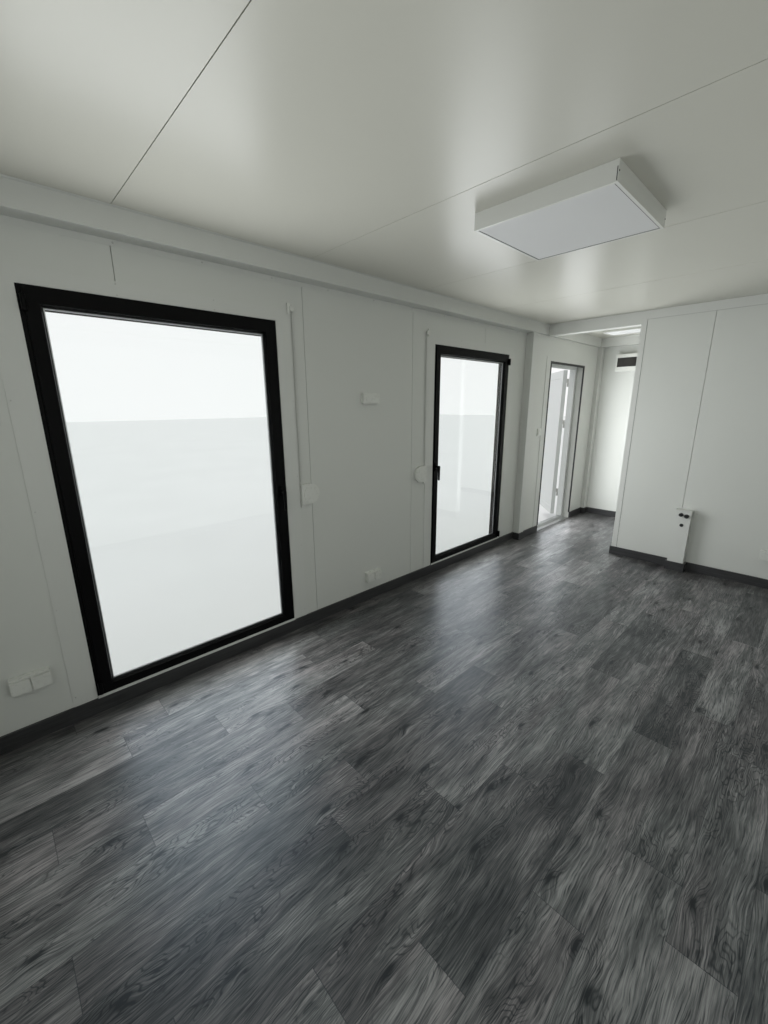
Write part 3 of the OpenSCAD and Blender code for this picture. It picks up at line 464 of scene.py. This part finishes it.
def deck_board():
    """Chipboard deck: pressed flakes of several tones."""
    s = Surface("deck_board")
    flakes = s.nodes.new("ShaderNodeTexVoronoi")
    s.put(flakes.inputs["Vector"], s.place)
    flakes.inputs["Scale"].default_value = 90.0
    away = flakes.outputs["Distance"]
    s.set(Base_Color=s.ramp(away, (0.0, (0.40, 0.27, 0.15)), (0.8, (0.24, 0.15, 0.08))), Roughness=0.8)
    s.bump(away, 0.0006)
    return s.material


def smoked_plastic():
    """The dark see-through flap of the fuse box."""
    s = Surface("smoked_plastic")
    s.set(
        Base_Color=s.ramp(s.noise(5.0, 2), (0.3, (0.030, 0.028, 0.026)), (0.7, (0.036, 0.034, 0.032))),
        Roughness=0.08,
        Coat_Weight=0.3,
    )
    return s.material


# One maker for each of the record's finishes
finishes = {
    "frame_steel": lambda: painted("frame_steel", (0.055, 0.062, 0.070), 0.42, 260.0, 0.00008).material,
    "deck_board": deck_board,
    "floor_vinyl": floor_vinyl,
    "roof_steel": lambda: coated_sheet("roof_steel", (0.42, 0.44, 0.45), 0.38).material,
    "ceiling_skin": ceiling_skin,
    "wall_skin": wall_skin,
    "white_trim": lambda: coated_sheet("white_trim", (0.645, 0.655, 0.625), 0.34).material,
    "skirting": skirting,
    "window_black": window_black,
    "glass": glass,
    "white_plastic": lambda: moulded("white_plastic", (0.70, 0.71, 0.67), 0.28).material,
    "shutter": lambda: painted("shutter", (0.062, 0.055, 0.050), 0.4, 300.0, 0.00005).material,
    "strap": strap,
    "door_white": lambda: painted("door_white", (0.68, 0.70, 0.69), 0.3).material,
    "black_plastic": lambda: moulded("black_plastic", (0.014, 0.014, 0.015), 0.38).material,
    "smoked_plastic": smoked_plastic,
    "threshold": lambda: bare_metal("threshold", (0.62, 0.63, 0.64), 0.34).material,
    "hinge_steel": lambda: bare_metal("hinge_steel", (0.60, 0.60, 0.58), 0.3, (40.0, 40.0, 1.0)).material,
    "lamp_white": lambda: painted("lamp_white", (0.60, 0.605, 0.57), 0.36).material,
    "diffuser": diffuser,
}


def dress_solids(made):
    """Gives each CAD node's material slots the scene's own finish of the same name."""
    for node in nodes.values():
        for slot in node.material_slots:
            name = slot.material.name.split(".")[0]
            slot.material = made[name]


# Solids of a node, and mesh tools

def solids_of(node):
    """The lowest and highest corner of each solid in a node, from the cabin's near end to its far end."""
    bm = bmesh.new()
    bm.from_mesh(nodes[node].data)
    bmesh.ops.remove_doubles(bm, verts=bm.verts, dist=0.00001)
    left = set(bm.verts)
    boxes = []
    while left:
        reached = [left.pop()]
        points = []
        while reached:
            v = reached.pop()
            points.append(v.co.copy())
            for e in v.link_edges:
                other = e.other_vert(v)
                if other in left:
                    left.remove(other)
                    reached.append(other)
        low = Vector(min(c[k] for c in points) for k in range(3))
        high = Vector(max(c[k] for c in points) for k in range(3))
        boxes.append((low, high))
    bm.free()
    return sorted(boxes, key=lambda b: -b[0].x)


def piece(name, build, slot, body="cabin"):
    """A new object from mesh code, in the cabin's frame, with the finish of one of the record's slots."""
    bm = bmesh.new()
    build(bm)
    bmesh.ops.recalc_face_normals(bm, faces=bm.faces)
    mesh = bpy.data.meshes.new(name)
    bm.to_mesh(mesh)
    bm.free()
    mesh.materials.append(made[slot])
    mesh.shade_smooth()
    mesh.set_sharp_from_angle(angle=math.radians(35))
    obj = bpy.data.objects.new(name, mesh)
    bpy.context.scene.collection.objects.link(obj)
    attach(obj, body)


def facing(place, normal, up=(0, 0, 1)):
    """A turn and move that takes Z to a surface's normal and Y to up, at a place on that surface."""
    z = Vector(normal).normalized()
    x = Vector(up).cross(z).normalized()
    y = z.cross(x)
    return Matrix.Translation(Vector(place)) @ Matrix((x, y, z)).transposed().to_4x4()


def add_ring(bm, place, points):
    return [bm.verts.new(place @ Vector(point)) for point in points]


def bridge(bm, low, high):
    """Quads between two rings of as many points."""
    count = len(low)
    for k in range(count):
        n = (k + 1) % count
        bm.faces.new((low[k], low[n], high[n], high[k]))


def add_turned(bm, profile, place, steps=20):
    """A closed solid of revolution about the place's own Z, from (radius, height) points off the axis."""
    angles = [2 * math.pi * k / steps for k in range(steps)]
    circle = [(math.cos(a), math.sin(a)) for a in angles]
    rings = [add_ring(bm, place, [(r * c, r * s, h) for c, s in circle]) for r, h in profile]
    for low, high in zip(rings, rings[1:]):
        bridge(bm, low, high)
    bm.faces.new(rings[0][::-1])
    bm.faces.new(rings[-1])


def add_block(bm, low, high, round_by=0.0008):
    """A box between two corners, with rounded edges."""
    new = bmesh.ops.create_cube(bm, size=1)["verts"]
    for v in new:
        v.co = Vector(l if c < 0 else h for c, l, h in zip(v.co, low, high))
    edges = list({e for v in new for e in v.link_edges})
    bmesh.ops.bevel(bm, geom=edges, offset=round_by, segments=2, profile=0.6, affect="EDGES")


def add_frame(bm, place, width, height, section, open_side=False):
    """Mitred bars round a rectangle. The section's points are (inward from the edge, up from it).

    With open_side, the lower bar is left out and the two upright bars end square.
    """
    corners = ((-1, -1), (-1, 1), (1, 1), (1, -1))
    rings = []
    for sx, sy in corners:
        cut = 0 if open_side and sy < 0 else 1
        points = [(sx * (width / 2 - a), sy * (height / 2 - a * cut), b) for a, b in section]
        rings.append(add_ring(bm, place, points))
    for k in range(3 if open_side else 4):
        bridge(bm, rings[k], rings[(k + 1) % 4])
    if open_side:
        bm.faces.new(rings[0][::-1])
        bm.faces.new(rings[3])


def add_strip(bm, start, end, section, normal):
    """A straight bar from start to end. The section's points are (sideways, up along the normal)."""
    along = (Vector(end) - Vector(start)).normalized()
    side = Vector(normal).cross(along)
    rings = []
    for place in (start, end):
        rings.append([bm.verts.new(Vector(place) + side * a + Vector(normal) * b) for a, b in section])
    bridge(bm, *rings)
    bm.faces.new(rings[0][::-1])
    bm.faces.new(rings[1])


def bead_section(width, height):
    """A rubber bead: flat foot and round back."""
    steps = 6
    angles = [math.pi * k / steps for k in range(steps + 1)]
    return [(width / 2 * (1 - math.cos(a)), height * math.sin(a)) for a in angles]


def add_screw(bm, place, size=1.0):
    """A pan head with a cross recess on a thin washer, in millimetres. The place's Z points outwards."""
    steps = 12
    first = -math.pi / 12
    profile = [(5.4, -0.6), (5.4, 0.35), (5.0, 0.6), (4.0, 0.7), (3.95, 1.3), (3.4, 1.9), (2.5, 2.2)]
    angles = [first + 2 * math.pi * k / steps for k in range(steps)]
    arm = 2.0
    half = 0.45
    cross = [(arm, -half), (arm, half), (half, half), (half, arm), (-half, arm), (-half, half),
             (-arm, half), (-arm, -half), (-half, -half), (-half, -arm), (half, -arm), (half, -half)]
    outlines = [[(r * math.cos(a), r * math.sin(a), h) for a in angles] for r, h in profile]
    outlines += [[(x, y, h) for x, y in cross] for h in (2.25, 1.2)]
    scaled = place @ Matrix.Scale(size / 1000, 4)
    rings = [add_ring(bm, scaled, points) for points in outlines]
    for low, high in zip(rings, rings[1:]):
        bridge(bm, low, high)
    bm.faces.new(rings[0][::-1])
    bm.faces.new(rings[-1])


def add_hex_screw(bm, place):
    """A self-drilling screw: hexagon head with a flange, on a rubber-backed washer."""
    add_turned(bm, [(0.0080, -0.001), (0.0080, 0.0016), (0.0072, 0.0026), (0.0056, 0.0028)], place, 18)
    add_turned(bm, [(0.0056, 0.0027), (0.0054, 0.0036), (0.0040, 0.0038)], place, 18)
    add_turned(bm, [(0.0044, 0.0037), (0.0044, 0.0078), (0.0038, 0.0086)], place, 6)


def spaced(start, end, gap, margin=0.03):
    """Even places between two ends, a margin in from each, about a gap apart."""
    count = max(1, round((end - start - 2 * margin) / gap))
    return [start + margin + (end - start - 2 * margin) * k / count for k in range(count + 1)]


# Fittings inside

into_room = (0, 1, 0)
flange_height = 0.026
flange_thick = 0.0012
flange_gap = 0.0004
lip_width = 0.009
lip_thick = 4 * flange_thick
screw_pitch = 0.395
screw_phase = camera_place.x - 0.587


def row_places(low, high, phase, pitch):
    """The places of a regular row that lie between two ends."""
    first = math.ceil((low - phase) / pitch)
    last = math.floor((high - phase) / pitch)
    return [phase + pitch * k for k in range(first, last + 1)]


def cornice_runs():
    """Each straight run of wall under the cornices: start, end and the way the wall faces."""
    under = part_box("cornices")[0].z
    post_low, post_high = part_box("entrance_post")
    part_low, part_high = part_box("partition_wall")
    in_from_end = near_inner - solids_of("casings")[0][0].x
    x_near = near_inner - in_from_end
    x_far = far_inner + in_from_end
    y_low = front_inner + in_from_end
    y_high = rear_inner - in_from_end
    return under, [
        ((x_near, front_inner), (post_high.x, front_inner), (0, 1, 0)),
        ((post_low.x, lining_inner), (x_far, lining_inner), (0, 1, 0)),
        ((part_high.x, rear_inner), (x_near, rear_inner), (0, -1, 0)),
        ((x_far, rear_inner), (part_low.x, rear_inner), (0, -1, 0)),
        ((near_inner, y_high), (near_inner, y_low), (-1, 0, 0)),
        ((far_inner, lining_inner + 0.05), (far_inner, y_high), (1, 0, 0)),
    ]


def make_cornice_flanges():
    """The narrow flange of the cornice sheet on the wall, and the row of screws through it."""
    under, runs = cornice_runs()
    top = under - flange_gap
    section = [(0, 0), (flange_height, 0), (flange_height, flange_thick), (0, flange_thick)]

    def strips(bm):
        for start, end, normal in runs:
            a = Vector((*start, top)) + Vector(normal) * flange_gap
            b = Vector((*end, top)) + Vector(normal) * flange_gap
            way = (b - a).normalized()
            side = Vector(normal).cross(way)
            sign = -1 if side.z > 0 else 1
            add_strip(bm, a + way * 0.001, b - way * 0.001, [(sign * u, v) for u, v in section], normal)

    def screws(bm):
        middle = top - flange_height * 0.45
        for start, end, normal in runs:
            if normal[1]:
                low, high = sorted((start[0], end[0]))
                row = row_places(low + 0.02, high - 0.02, screw_phase, screw_pitch)
                spots = [(x, start[1]) for x in row]
            else:
                low, high = sorted((start[1], end[1]))
                spots = [(start[0], y) for y in spaced(low, high, screw_pitch)]
            for x, y in spots:
                place = Vector((x, y, middle)) + Vector(normal) * (flange_gap + flange_thick)
                add_screw(bm, facing(place, normal), 0.8)

    piece("cornice_flanges", strips, "white_trim")
    piece("cornice_screws", screws, "hinge_steel")


def make_cornice_lips():
    """The lip of each cornice sheet that lies on the ceiling, along the cornice's upper edge."""
    section = [(0, 0), (lip_width, 0), (lip_width, flange_thick), (0, lip_thick)]
    top = ceiling_under - flange_gap
    beam_low = min(low.x for low, high in solids_of("casings") if low.z > floor_top + 1)
    beam_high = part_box("partition_trim")[1].x

    def lip(bm, start, end, sideways):
        add_strip(bm, (*start, top), (*end, top), [(sideways * u, v) for u, v in section], (0, 0, -1))

    def build(bm):
        for low, high in solids_of("cornices"):
            deep = min(high.x - low.x, high.y - low.y) + flange_gap
            if high.x - low.x > high.y - low.y:
                front = low.y < 0
                y = low.y + deep if front else high.y - deep
                sideways = -1 if front else 1
                lip(bm, (beam_high, y), (high.x - deep, y), sideways)
                lip(bm, (low.x + deep, y), (beam_low, y), sideways)
            else:
                far = low.x < 0
                x = low.x + deep if far else high.x - deep
                lip(bm, (x, low.y + deep), (x, high.y - deep), 1 if far else -1)

    piece("cornice_lips", build, "white_trim")


def make_partition_shadow_strips():
    """Black strips beside the folded end of the partition and under its two upper strips: painted shadow in
    the narrow gaps there.
    """
    end, *strips = sorted(solids_of("partition_trim"), key=lambda b: b[0].z)
    edge_y = min(low.y for low, high in strips)
    # These black strips are painted shadow: they stand in for the shade in the gaps at the trim's edges.
    seam = 0.0022
    proud = 0.0010

    def build(bm):
        for low, high in strips:
            outward = 1 if low.x > (end[0].x + end[1].x) / 2 else -1
            x = low.x if outward > 0 else high.x
            near, far = sorted((x + outward * 0.0001, x + outward * proud))
            add_block(bm, (near, edge_y, end[0].z), (far, edge_y + seam, low.z), round_by=0.0002)
            add_block(bm, (near, edge_y + seam, low.z - seam / 2), (far, high.y, low.z), round_by=0.0002)

    piece("partition_shadow_strips", build, "black_plastic")


# Screws of the trims: their size beside a full screw, their spacing, and their places on the strips
trim_screw = 0.62
trim_pitch = 0.456
trim_rise = 0.46
trim_edge = 0.012
over_window = 0.009
partition_row_from = camera_place.y - 1.325
partition_row_pitch = 0.452
partition_row_down = 0.062
partition_rise = 0.45
partition_end_middle = 0.036


def screws_round_openings(bm, strips):
    """Screws along the top and both sides of the strips round the tall windows and the doorway."""
    for low, high in strips:
        for x in spaced(low.x, high.x, trim_pitch, trim_edge):
            add_screw(bm, facing((x, high.y, high.z - trim_edge), into_room), trim_screw)
        for z in spaced(low.z, high.z, trim_rise, 0.05)[:-1]:
            for x in (low.x + trim_edge, high.x - trim_edge):
                add_screw(bm, facing((x, high.y, z), into_room), trim_screw)


def screws_over_windows(bm, face):
    """Screws in the strip over each tall window."""
    for low, high in solids_of("window_frames")[-2:]:
        for x in spaced(low.x, high.x, trim_pitch, -0.09)[1:-1]:
            add_screw(bm, facing((x, face, high.z + over_window), into_room), trim_screw)


def screws_on_partition(bm):
    """Screws along the partition's upper strip and up its folded end."""
    low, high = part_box("partition_trim")
    outward = (1, 0, 0)
    for y in row_places(low.y + 0.1, high.y - 0.03, partition_row_from, partition_row_pitch):
        add_screw(bm, facing((high.x, y, high.z - partition_row_down), outward), trim_screw)
    for z in spaced(low.z, high.z, partition_rise, 0.07):
        add_screw(bm, facing((high.x, low.y + partition_end_middle, z), outward), trim_screw)


def make_trim_screws():
    """Screws in the white strips round the windows, the door and the partition's edge."""
    strips = [s for s in solids_of("opening_trims") if s[1].z - s[0].z > 1]

    def build(bm):
        screws_round_openings(bm, strips)
        screws_over_windows(bm, strips[0][1].y)
        screws_on_partition(bm)

    piece("trim_screws", build, "hinge_steel")


def make_glazing():
    """Rubber beads on both faces of each pane, and the two spacer bars that show inside its edge."""
    rebate = 0.014
    bar_seen = 0.009
    bar_deep = 0.0065
    inner_pane = 0.004
    outer_bar = 0.0145
    panes = solids_of("window_glass")
    bead = bead_section(0.0045, 0.0032)

    def bar(top):
        """A spacer bar's section, with its upper face so far under the pane's inner face."""
        low, high = rebate - 0.006, rebate + bar_seen
        return [(low, -top), (high, -top), (high, -top - bar_deep), (low, -top - bar_deep)]

    def each(bm, section, both_faces=False):
        for low, high in panes:
            middle = (low + high) / 2
            if high.x - low.x > high.y - low.y:
                inward = Vector((0, 1, 0))
                width = high.x - low.x
                deep = high.y - low.y
            else:
                inward = Vector((-1, 0, 0))
                width = high.y - low.y
                deep = high.x - low.x
            inset = rebate if both_faces else 0
            for normal in (inward, -inward) if both_faces else (inward,):
                place = facing(middle + normal * deep / 2, normal)
                add_frame(bm, place, width - 2 * inset, high.z - low.z - 2 * inset, section)

    piece("glazing_beads", lambda bm: each(bm, bead, True), "black_plastic")
    piece("inner_spacers", lambda bm: each(bm, bar(inner_pane)), "threshold")
    piece("outer_spacers", lambda bm: each(bm, bar(outer_bar)), "threshold")


def make_door_seal():
    """The black seal round the inside of the doorway."""
    low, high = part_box("door_frame")
    trim = [s for s in solids_of("opening_trims") if s[0].x < low.x and s[1].x > high.x][0]
    lip = 0.020
    section = [(-0.005, 0.0), (-0.005, 0.0022), (0.002, 0.0042), (lip, 0.0030),
               (lip, -0.008), (lip - 0.004, -0.011), (0.0005, -0.011), (0.0005, 0.0)]
    bottom = trim[0].z
    middle = ((low.x + high.x) / 2, trim[1].y, (bottom + high.z) / 2)

    def frame_seal(bm):
        add_frame(bm, facing(middle, into_room), high.x - low.x, high.z - bottom, section, open_side=True)

    piece("doorway_seal", frame_seal, "black_plastic")


def make_lamp_trim():
    """Black strips in the gap between each lamp's frame and its cover, as painted shadow of that gap, and
    the frame's corner joints and screws.
    """
    covers = solids_of("lamp_diffusers")
    housings = solids_of("lamp_housings")
    # The black strips in this gap are painted shadow of the gap between frame and cover.
    gap = 0.0038
    past_cover = 0.0026
    line_thick = 0.0003
    joint = 0.0026
    joint_top = 0.022
    screw_in = 0.006

    def lines(bm):
        for low, high in covers:
            middle = ((low.x + high.x) / 2, (low.y + high.y) / 2, low.z)
            place = facing(middle, (0, 0, -1), (0, 1, 0))
            section = [(0, 0), (gap, 0), (gap, line_thick), (0, line_thick)]
            add_frame(bm, place, high.x - low.x + past_cover, high.y - low.y + past_cover, section)

    def joints(bm):
        for low, high in housings:
            for x, y, outward in ((low.x, low.y + 0.003, -1), (high.x, high.y - 0.003 - joint, 1)):
                near, far = sorted((x + outward * 0.0001, x + outward * 0.0009))
                corners = (near, y, low.z + 0.004), (far, y + joint, high.z - joint_top)
                add_block(bm, *corners, round_by=0.0002)

    def screws(bm):
        for low, high in housings:
            for x in (low.x + screw_in, high.x - screw_in):
                for y, normal in ((low.y, (0, -1, 0)), (high.y, (0, 1, 0))):
                    add_screw(bm, facing((x, y, (low.z + high.z) / 2), normal), 0.7)

    piece("lamp_gap_shadow_lines", lines, "black_plastic")
    piece("lamp_corner_joints", joints, "black_plastic")
    piece("lamp_screws", screws, "black_plastic")


def make_roof_screws():
    """Hexagon screws with washers along the roof sheet's ribs."""
    low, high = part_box("roof_sheet")
    rib_pitch = 0.274
    eaves = 0.06
    lines = [low.y + (high.y - low.y) * k / 4 for k in range(5)]

    def build(bm):
        for x in spaced(low.x, high.x, rib_pitch, 0.09):
            for y in lines[1:-1] + [low.y + eaves, high.y - eaves]:
                place = roof_hit(x, y)
                if place:
                    add_hex_screw(bm, facing(place, (0, 0, 1), (0, 1, 0)))

    piece("roof_screws", build, "hinge_steel")


def roof_hit(x, y):
    """The roof sheet's upper face under a point, found with a ray, or None off the sheet."""
    start = Vector((x, y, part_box("roof_sheet")[1].z + 0.1))
    hit, place, normal, _ = nodes["roof_sheet"].ray_cast(start, Vector((0, 0, -1)))
    return place if hit and normal.z > 0.99 else None


def make_socket_screws():
    """The screws at the ends of the double sockets' covers."""
    least_deep = 0.03
    least_wide = 0.14
    inset = 0.012
    under_edge = 0.010
    under_face = 0.0075
    boxes = solids_of("wall_boxes")

    def build(bm):
        for low, high in boxes:
            if high.y > 0 or high.y - low.y < least_deep or high.x - low.x < least_wide:
                continue
            for x in (low.x + inset, high.x - inset):
                add_screw(bm, facing((x, high.y - under_face, high.z - under_edge), into_room), 0.5)

    piece("socket_screws", build, "white_plastic")


def make_fuse_latch():
    """The latch and the two hinge blocks of the fuse box's flap."""
    low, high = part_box("fuse_box_window")
    back = high.x - 0.001

    def build(bm):
        middle = (low.y + high.y) / 2
        add_block(bm, (back, middle - 0.016, low.z + 0.002), (back + 0.007, middle + 0.016, low.z + 0.012))
        for y in (low.y + 0.03, high.y - 0.03):
            add_block(bm, (back, y - 0.010, high.z - 0.008), (back + 0.006, y + 0.010, high.z - 0.001))

    piece("fuse_latch", build, "black_plastic")


def make_threshold_ribs():
    """Tread ribs on the aluminium threshold."""
    low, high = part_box("door_threshold")
    ribs = 5
    pitch = 0.012
    first = front_outer + 0.038
    inset = 0.06

    def build(bm):
        section = [(-0.0015, 0), (0.0015, 0), (0.0009, 0.0012), (-0.0009, 0.0012)]
        z = high.z - 0.0002
        for k in range(ribs):
            y = first + pitch * k
            add_strip(bm, (low.x + inset, y, z), (high.x - inset, y, z), section, (0, 0, 1))

    piece("threshold_ribs", build, "threshold")


def make_fittings():
    """All the small pieces that the solids lack."""
    make_cornice_flanges()
    make_cornice_lips()
    make_trim_screws()
    make_partition_shadow_strips()
    make_glazing()
    make_door_seal()
    make_lamp_trim()
    make_roof_screws()
    make_socket_screws()
    make_fuse_latch()
    make_threshold_ribs()


# Stage and light

def make_stage():
    """A pale floor that runs far out, under a white background."""
    half = 60
    mesh = bpy.data.meshes.new("ground")
    corners = [(-half, -half, 0), (half, -half, 0), (half, half, 0), (-half, half, 0)]
    mesh.from_pydata(corners, [], [(0, 1, 2, 3)])
    ground = bpy.data.objects.new("ground", mesh)
    ground.location.z = -0.002
    bpy.context.scene.collection.objects.link(ground)
    s = Surface("ground")
    cloud = s.noise(0.7, 3)
    s.set(Base_Color=s.ramp(cloud, (0.3, (0.86, 0.86, 0.85)), (0.7, (0.89, 0.89, 0.88))), Roughness=0.8)
    mesh.materials.append(s.material)


def make_world():
    """White to the camera, to gloss and through glass; a soft neutral sky for the light itself."""
    world = bpy.data.worlds.new("world")
    bpy.context.scene.world = world
    world.use_nodes = True
    tree = world.node_tree
    sky = tree.nodes["Background"]
    sky.inputs["Color"].default_value = (0.95, 0.98, 1.0, 1)
    sky.inputs["Strength"].default_value = 0.75
    seen = tree.nodes.new("ShaderNodeBackground")
    seen.inputs["Color"].default_value = (1, 1, 1, 1)
    seen.inputs["Strength"].default_value = 1.0
    path = tree.nodes.new("ShaderNodeLightPath")
    first = tree.nodes.new("ShaderNodeMath")
    second = tree.nodes.new("ShaderNodeMath")
    first.operation = second.operation = "MAXIMUM"
    tree.links.new(path.outputs["Is Camera Ray"], first.inputs[0])
    tree.links.new(path.outputs["Is Glossy Ray"], first.inputs[1])
    tree.links.new(first.outputs[0], second.inputs[0])
    tree.links.new(path.outputs["Is Transmission Ray"], second.inputs[1])
    mix = tree.nodes.new("ShaderNodeMixShader")
    tree.links.new(second.outputs[0], mix.inputs[0])
    tree.links.new(sky.outputs[0], mix.inputs[1])
    tree.links.new(seen.outputs[0], mix.inputs[2])
    tree.links.new(mix.outputs[0], tree.nodes["World Output"].inputs["Surface"])


def hang_lamp(name, data, towards, place=(0, 0, 0)):
    """Puts a light in the scene, shining one way."""
    lamp = bpy.data.objects.new(name, data)
    lamp.location = place
    lamp.rotation_mode = "QUATERNION"
    lamp.rotation_quaternion = Vector(towards).to_track_quat("-Z", "Y")
    bpy.context.scene.collection.objects.link(lamp)
    return lamp


def area_light(name, place, towards, width, height, power, colour=(1, 1, 1), in_gloss=False):
    """A soft rectangular lamp that the camera doesn't see."""
    data = bpy.data.lights.new(name, "AREA")
    data.shape = "RECTANGLE"
    data.size = width
    data.size_y = height
    data.energy = power
    data.color = colour
    lamp = hang_lamp(name, data, towards, place)
    lamp.visible_camera = False
    lamp.visible_glossy = in_gloss


daylight = (0.96, 0.985, 1.0)
window_power = 6.0
window_glow = 6.5
door_power = 18.0
door_glow = 5.0
fill_room_power = 4.0
fill_bay_power = 7.0
fill_inset = 0.15
fill_middle = 1.4
fill_tall = 1.8
lamp_inset = 0.06
glow_step = 0.01


def daylight_pair(name, place, towards, wide, tall, plain, glow):
    """A plain lamp, and a weaker one before it that gloss sees. Powers are for each square metre."""
    area = wide * tall
    before = Vector(place) + Vector(towards) * glow_step
    area_light(f"day_{name}", place, towards, wide, tall, plain * area, daylight)
    area_light(f"glow_{name}", before, towards, wide, tall, glow * area, daylight, True)


def make_daylight():
    """Daylight just inside each pane and the doorway."""
    for low, high in solids_of("window_glass"):
        middle = (low + high) / 2
        tall = high.z - low.z
        if high.x - low.x > high.y - low.y:
            wide = high.x - low.x
            place = (middle.x, front_inner + lamp_inset, middle.z)
            towards = (0, 1, 0)
        else:
            wide = high.y - low.y
            place = (near_inner - lamp_inset, middle.y, middle.z)
            towards = (-1, 0, 0)
        daylight_pair("window", place, towards, wide, tall, window_power, window_glow)
    low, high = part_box("door_frame")
    place = ((low.x + high.x) / 2, lining_inner + lamp_inset / 2, (low.z + high.z) / 2)
    wide = high.x - low.x - 0.1
    daylight_pair("door", place, (0, 1, 0), wide, 1.9, door_power, door_glow)


def make_lights():
    """Daylight at each opening, weak fills in room and entrance bay, and a soft key from outside."""
    make_daylight()
    y = rear_inner - fill_inset
    area_light("fill_room", (1.2, y, fill_middle), (-0.1, -1, 0), 3.0, fill_tall, fill_room_power)
    bay_middle = (far_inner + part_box("partition_trim")[0].x) / 2
    area_light("fill_bay", (bay_middle, y, fill_middle), (0, -1, 0), 0.8, fill_tall, fill_bay_power)
    key = bpy.data.lights.new("key", "SUN")
    key.energy = 0.8
    key.angle = math.radians(14)
    key.color = (1.0, 0.98, 0.95)
    hang_lamp("key", key, (-0.42, 0.36, -0.95))


# Everything in order

make_camera()
made = {name: maker() for name, maker in finishes.items()}
dress_solids(made)
make_fittings()
make_stage()
make_world()
make_lights()

bpy.context.scene.view_settings.view_transform = "Standard"
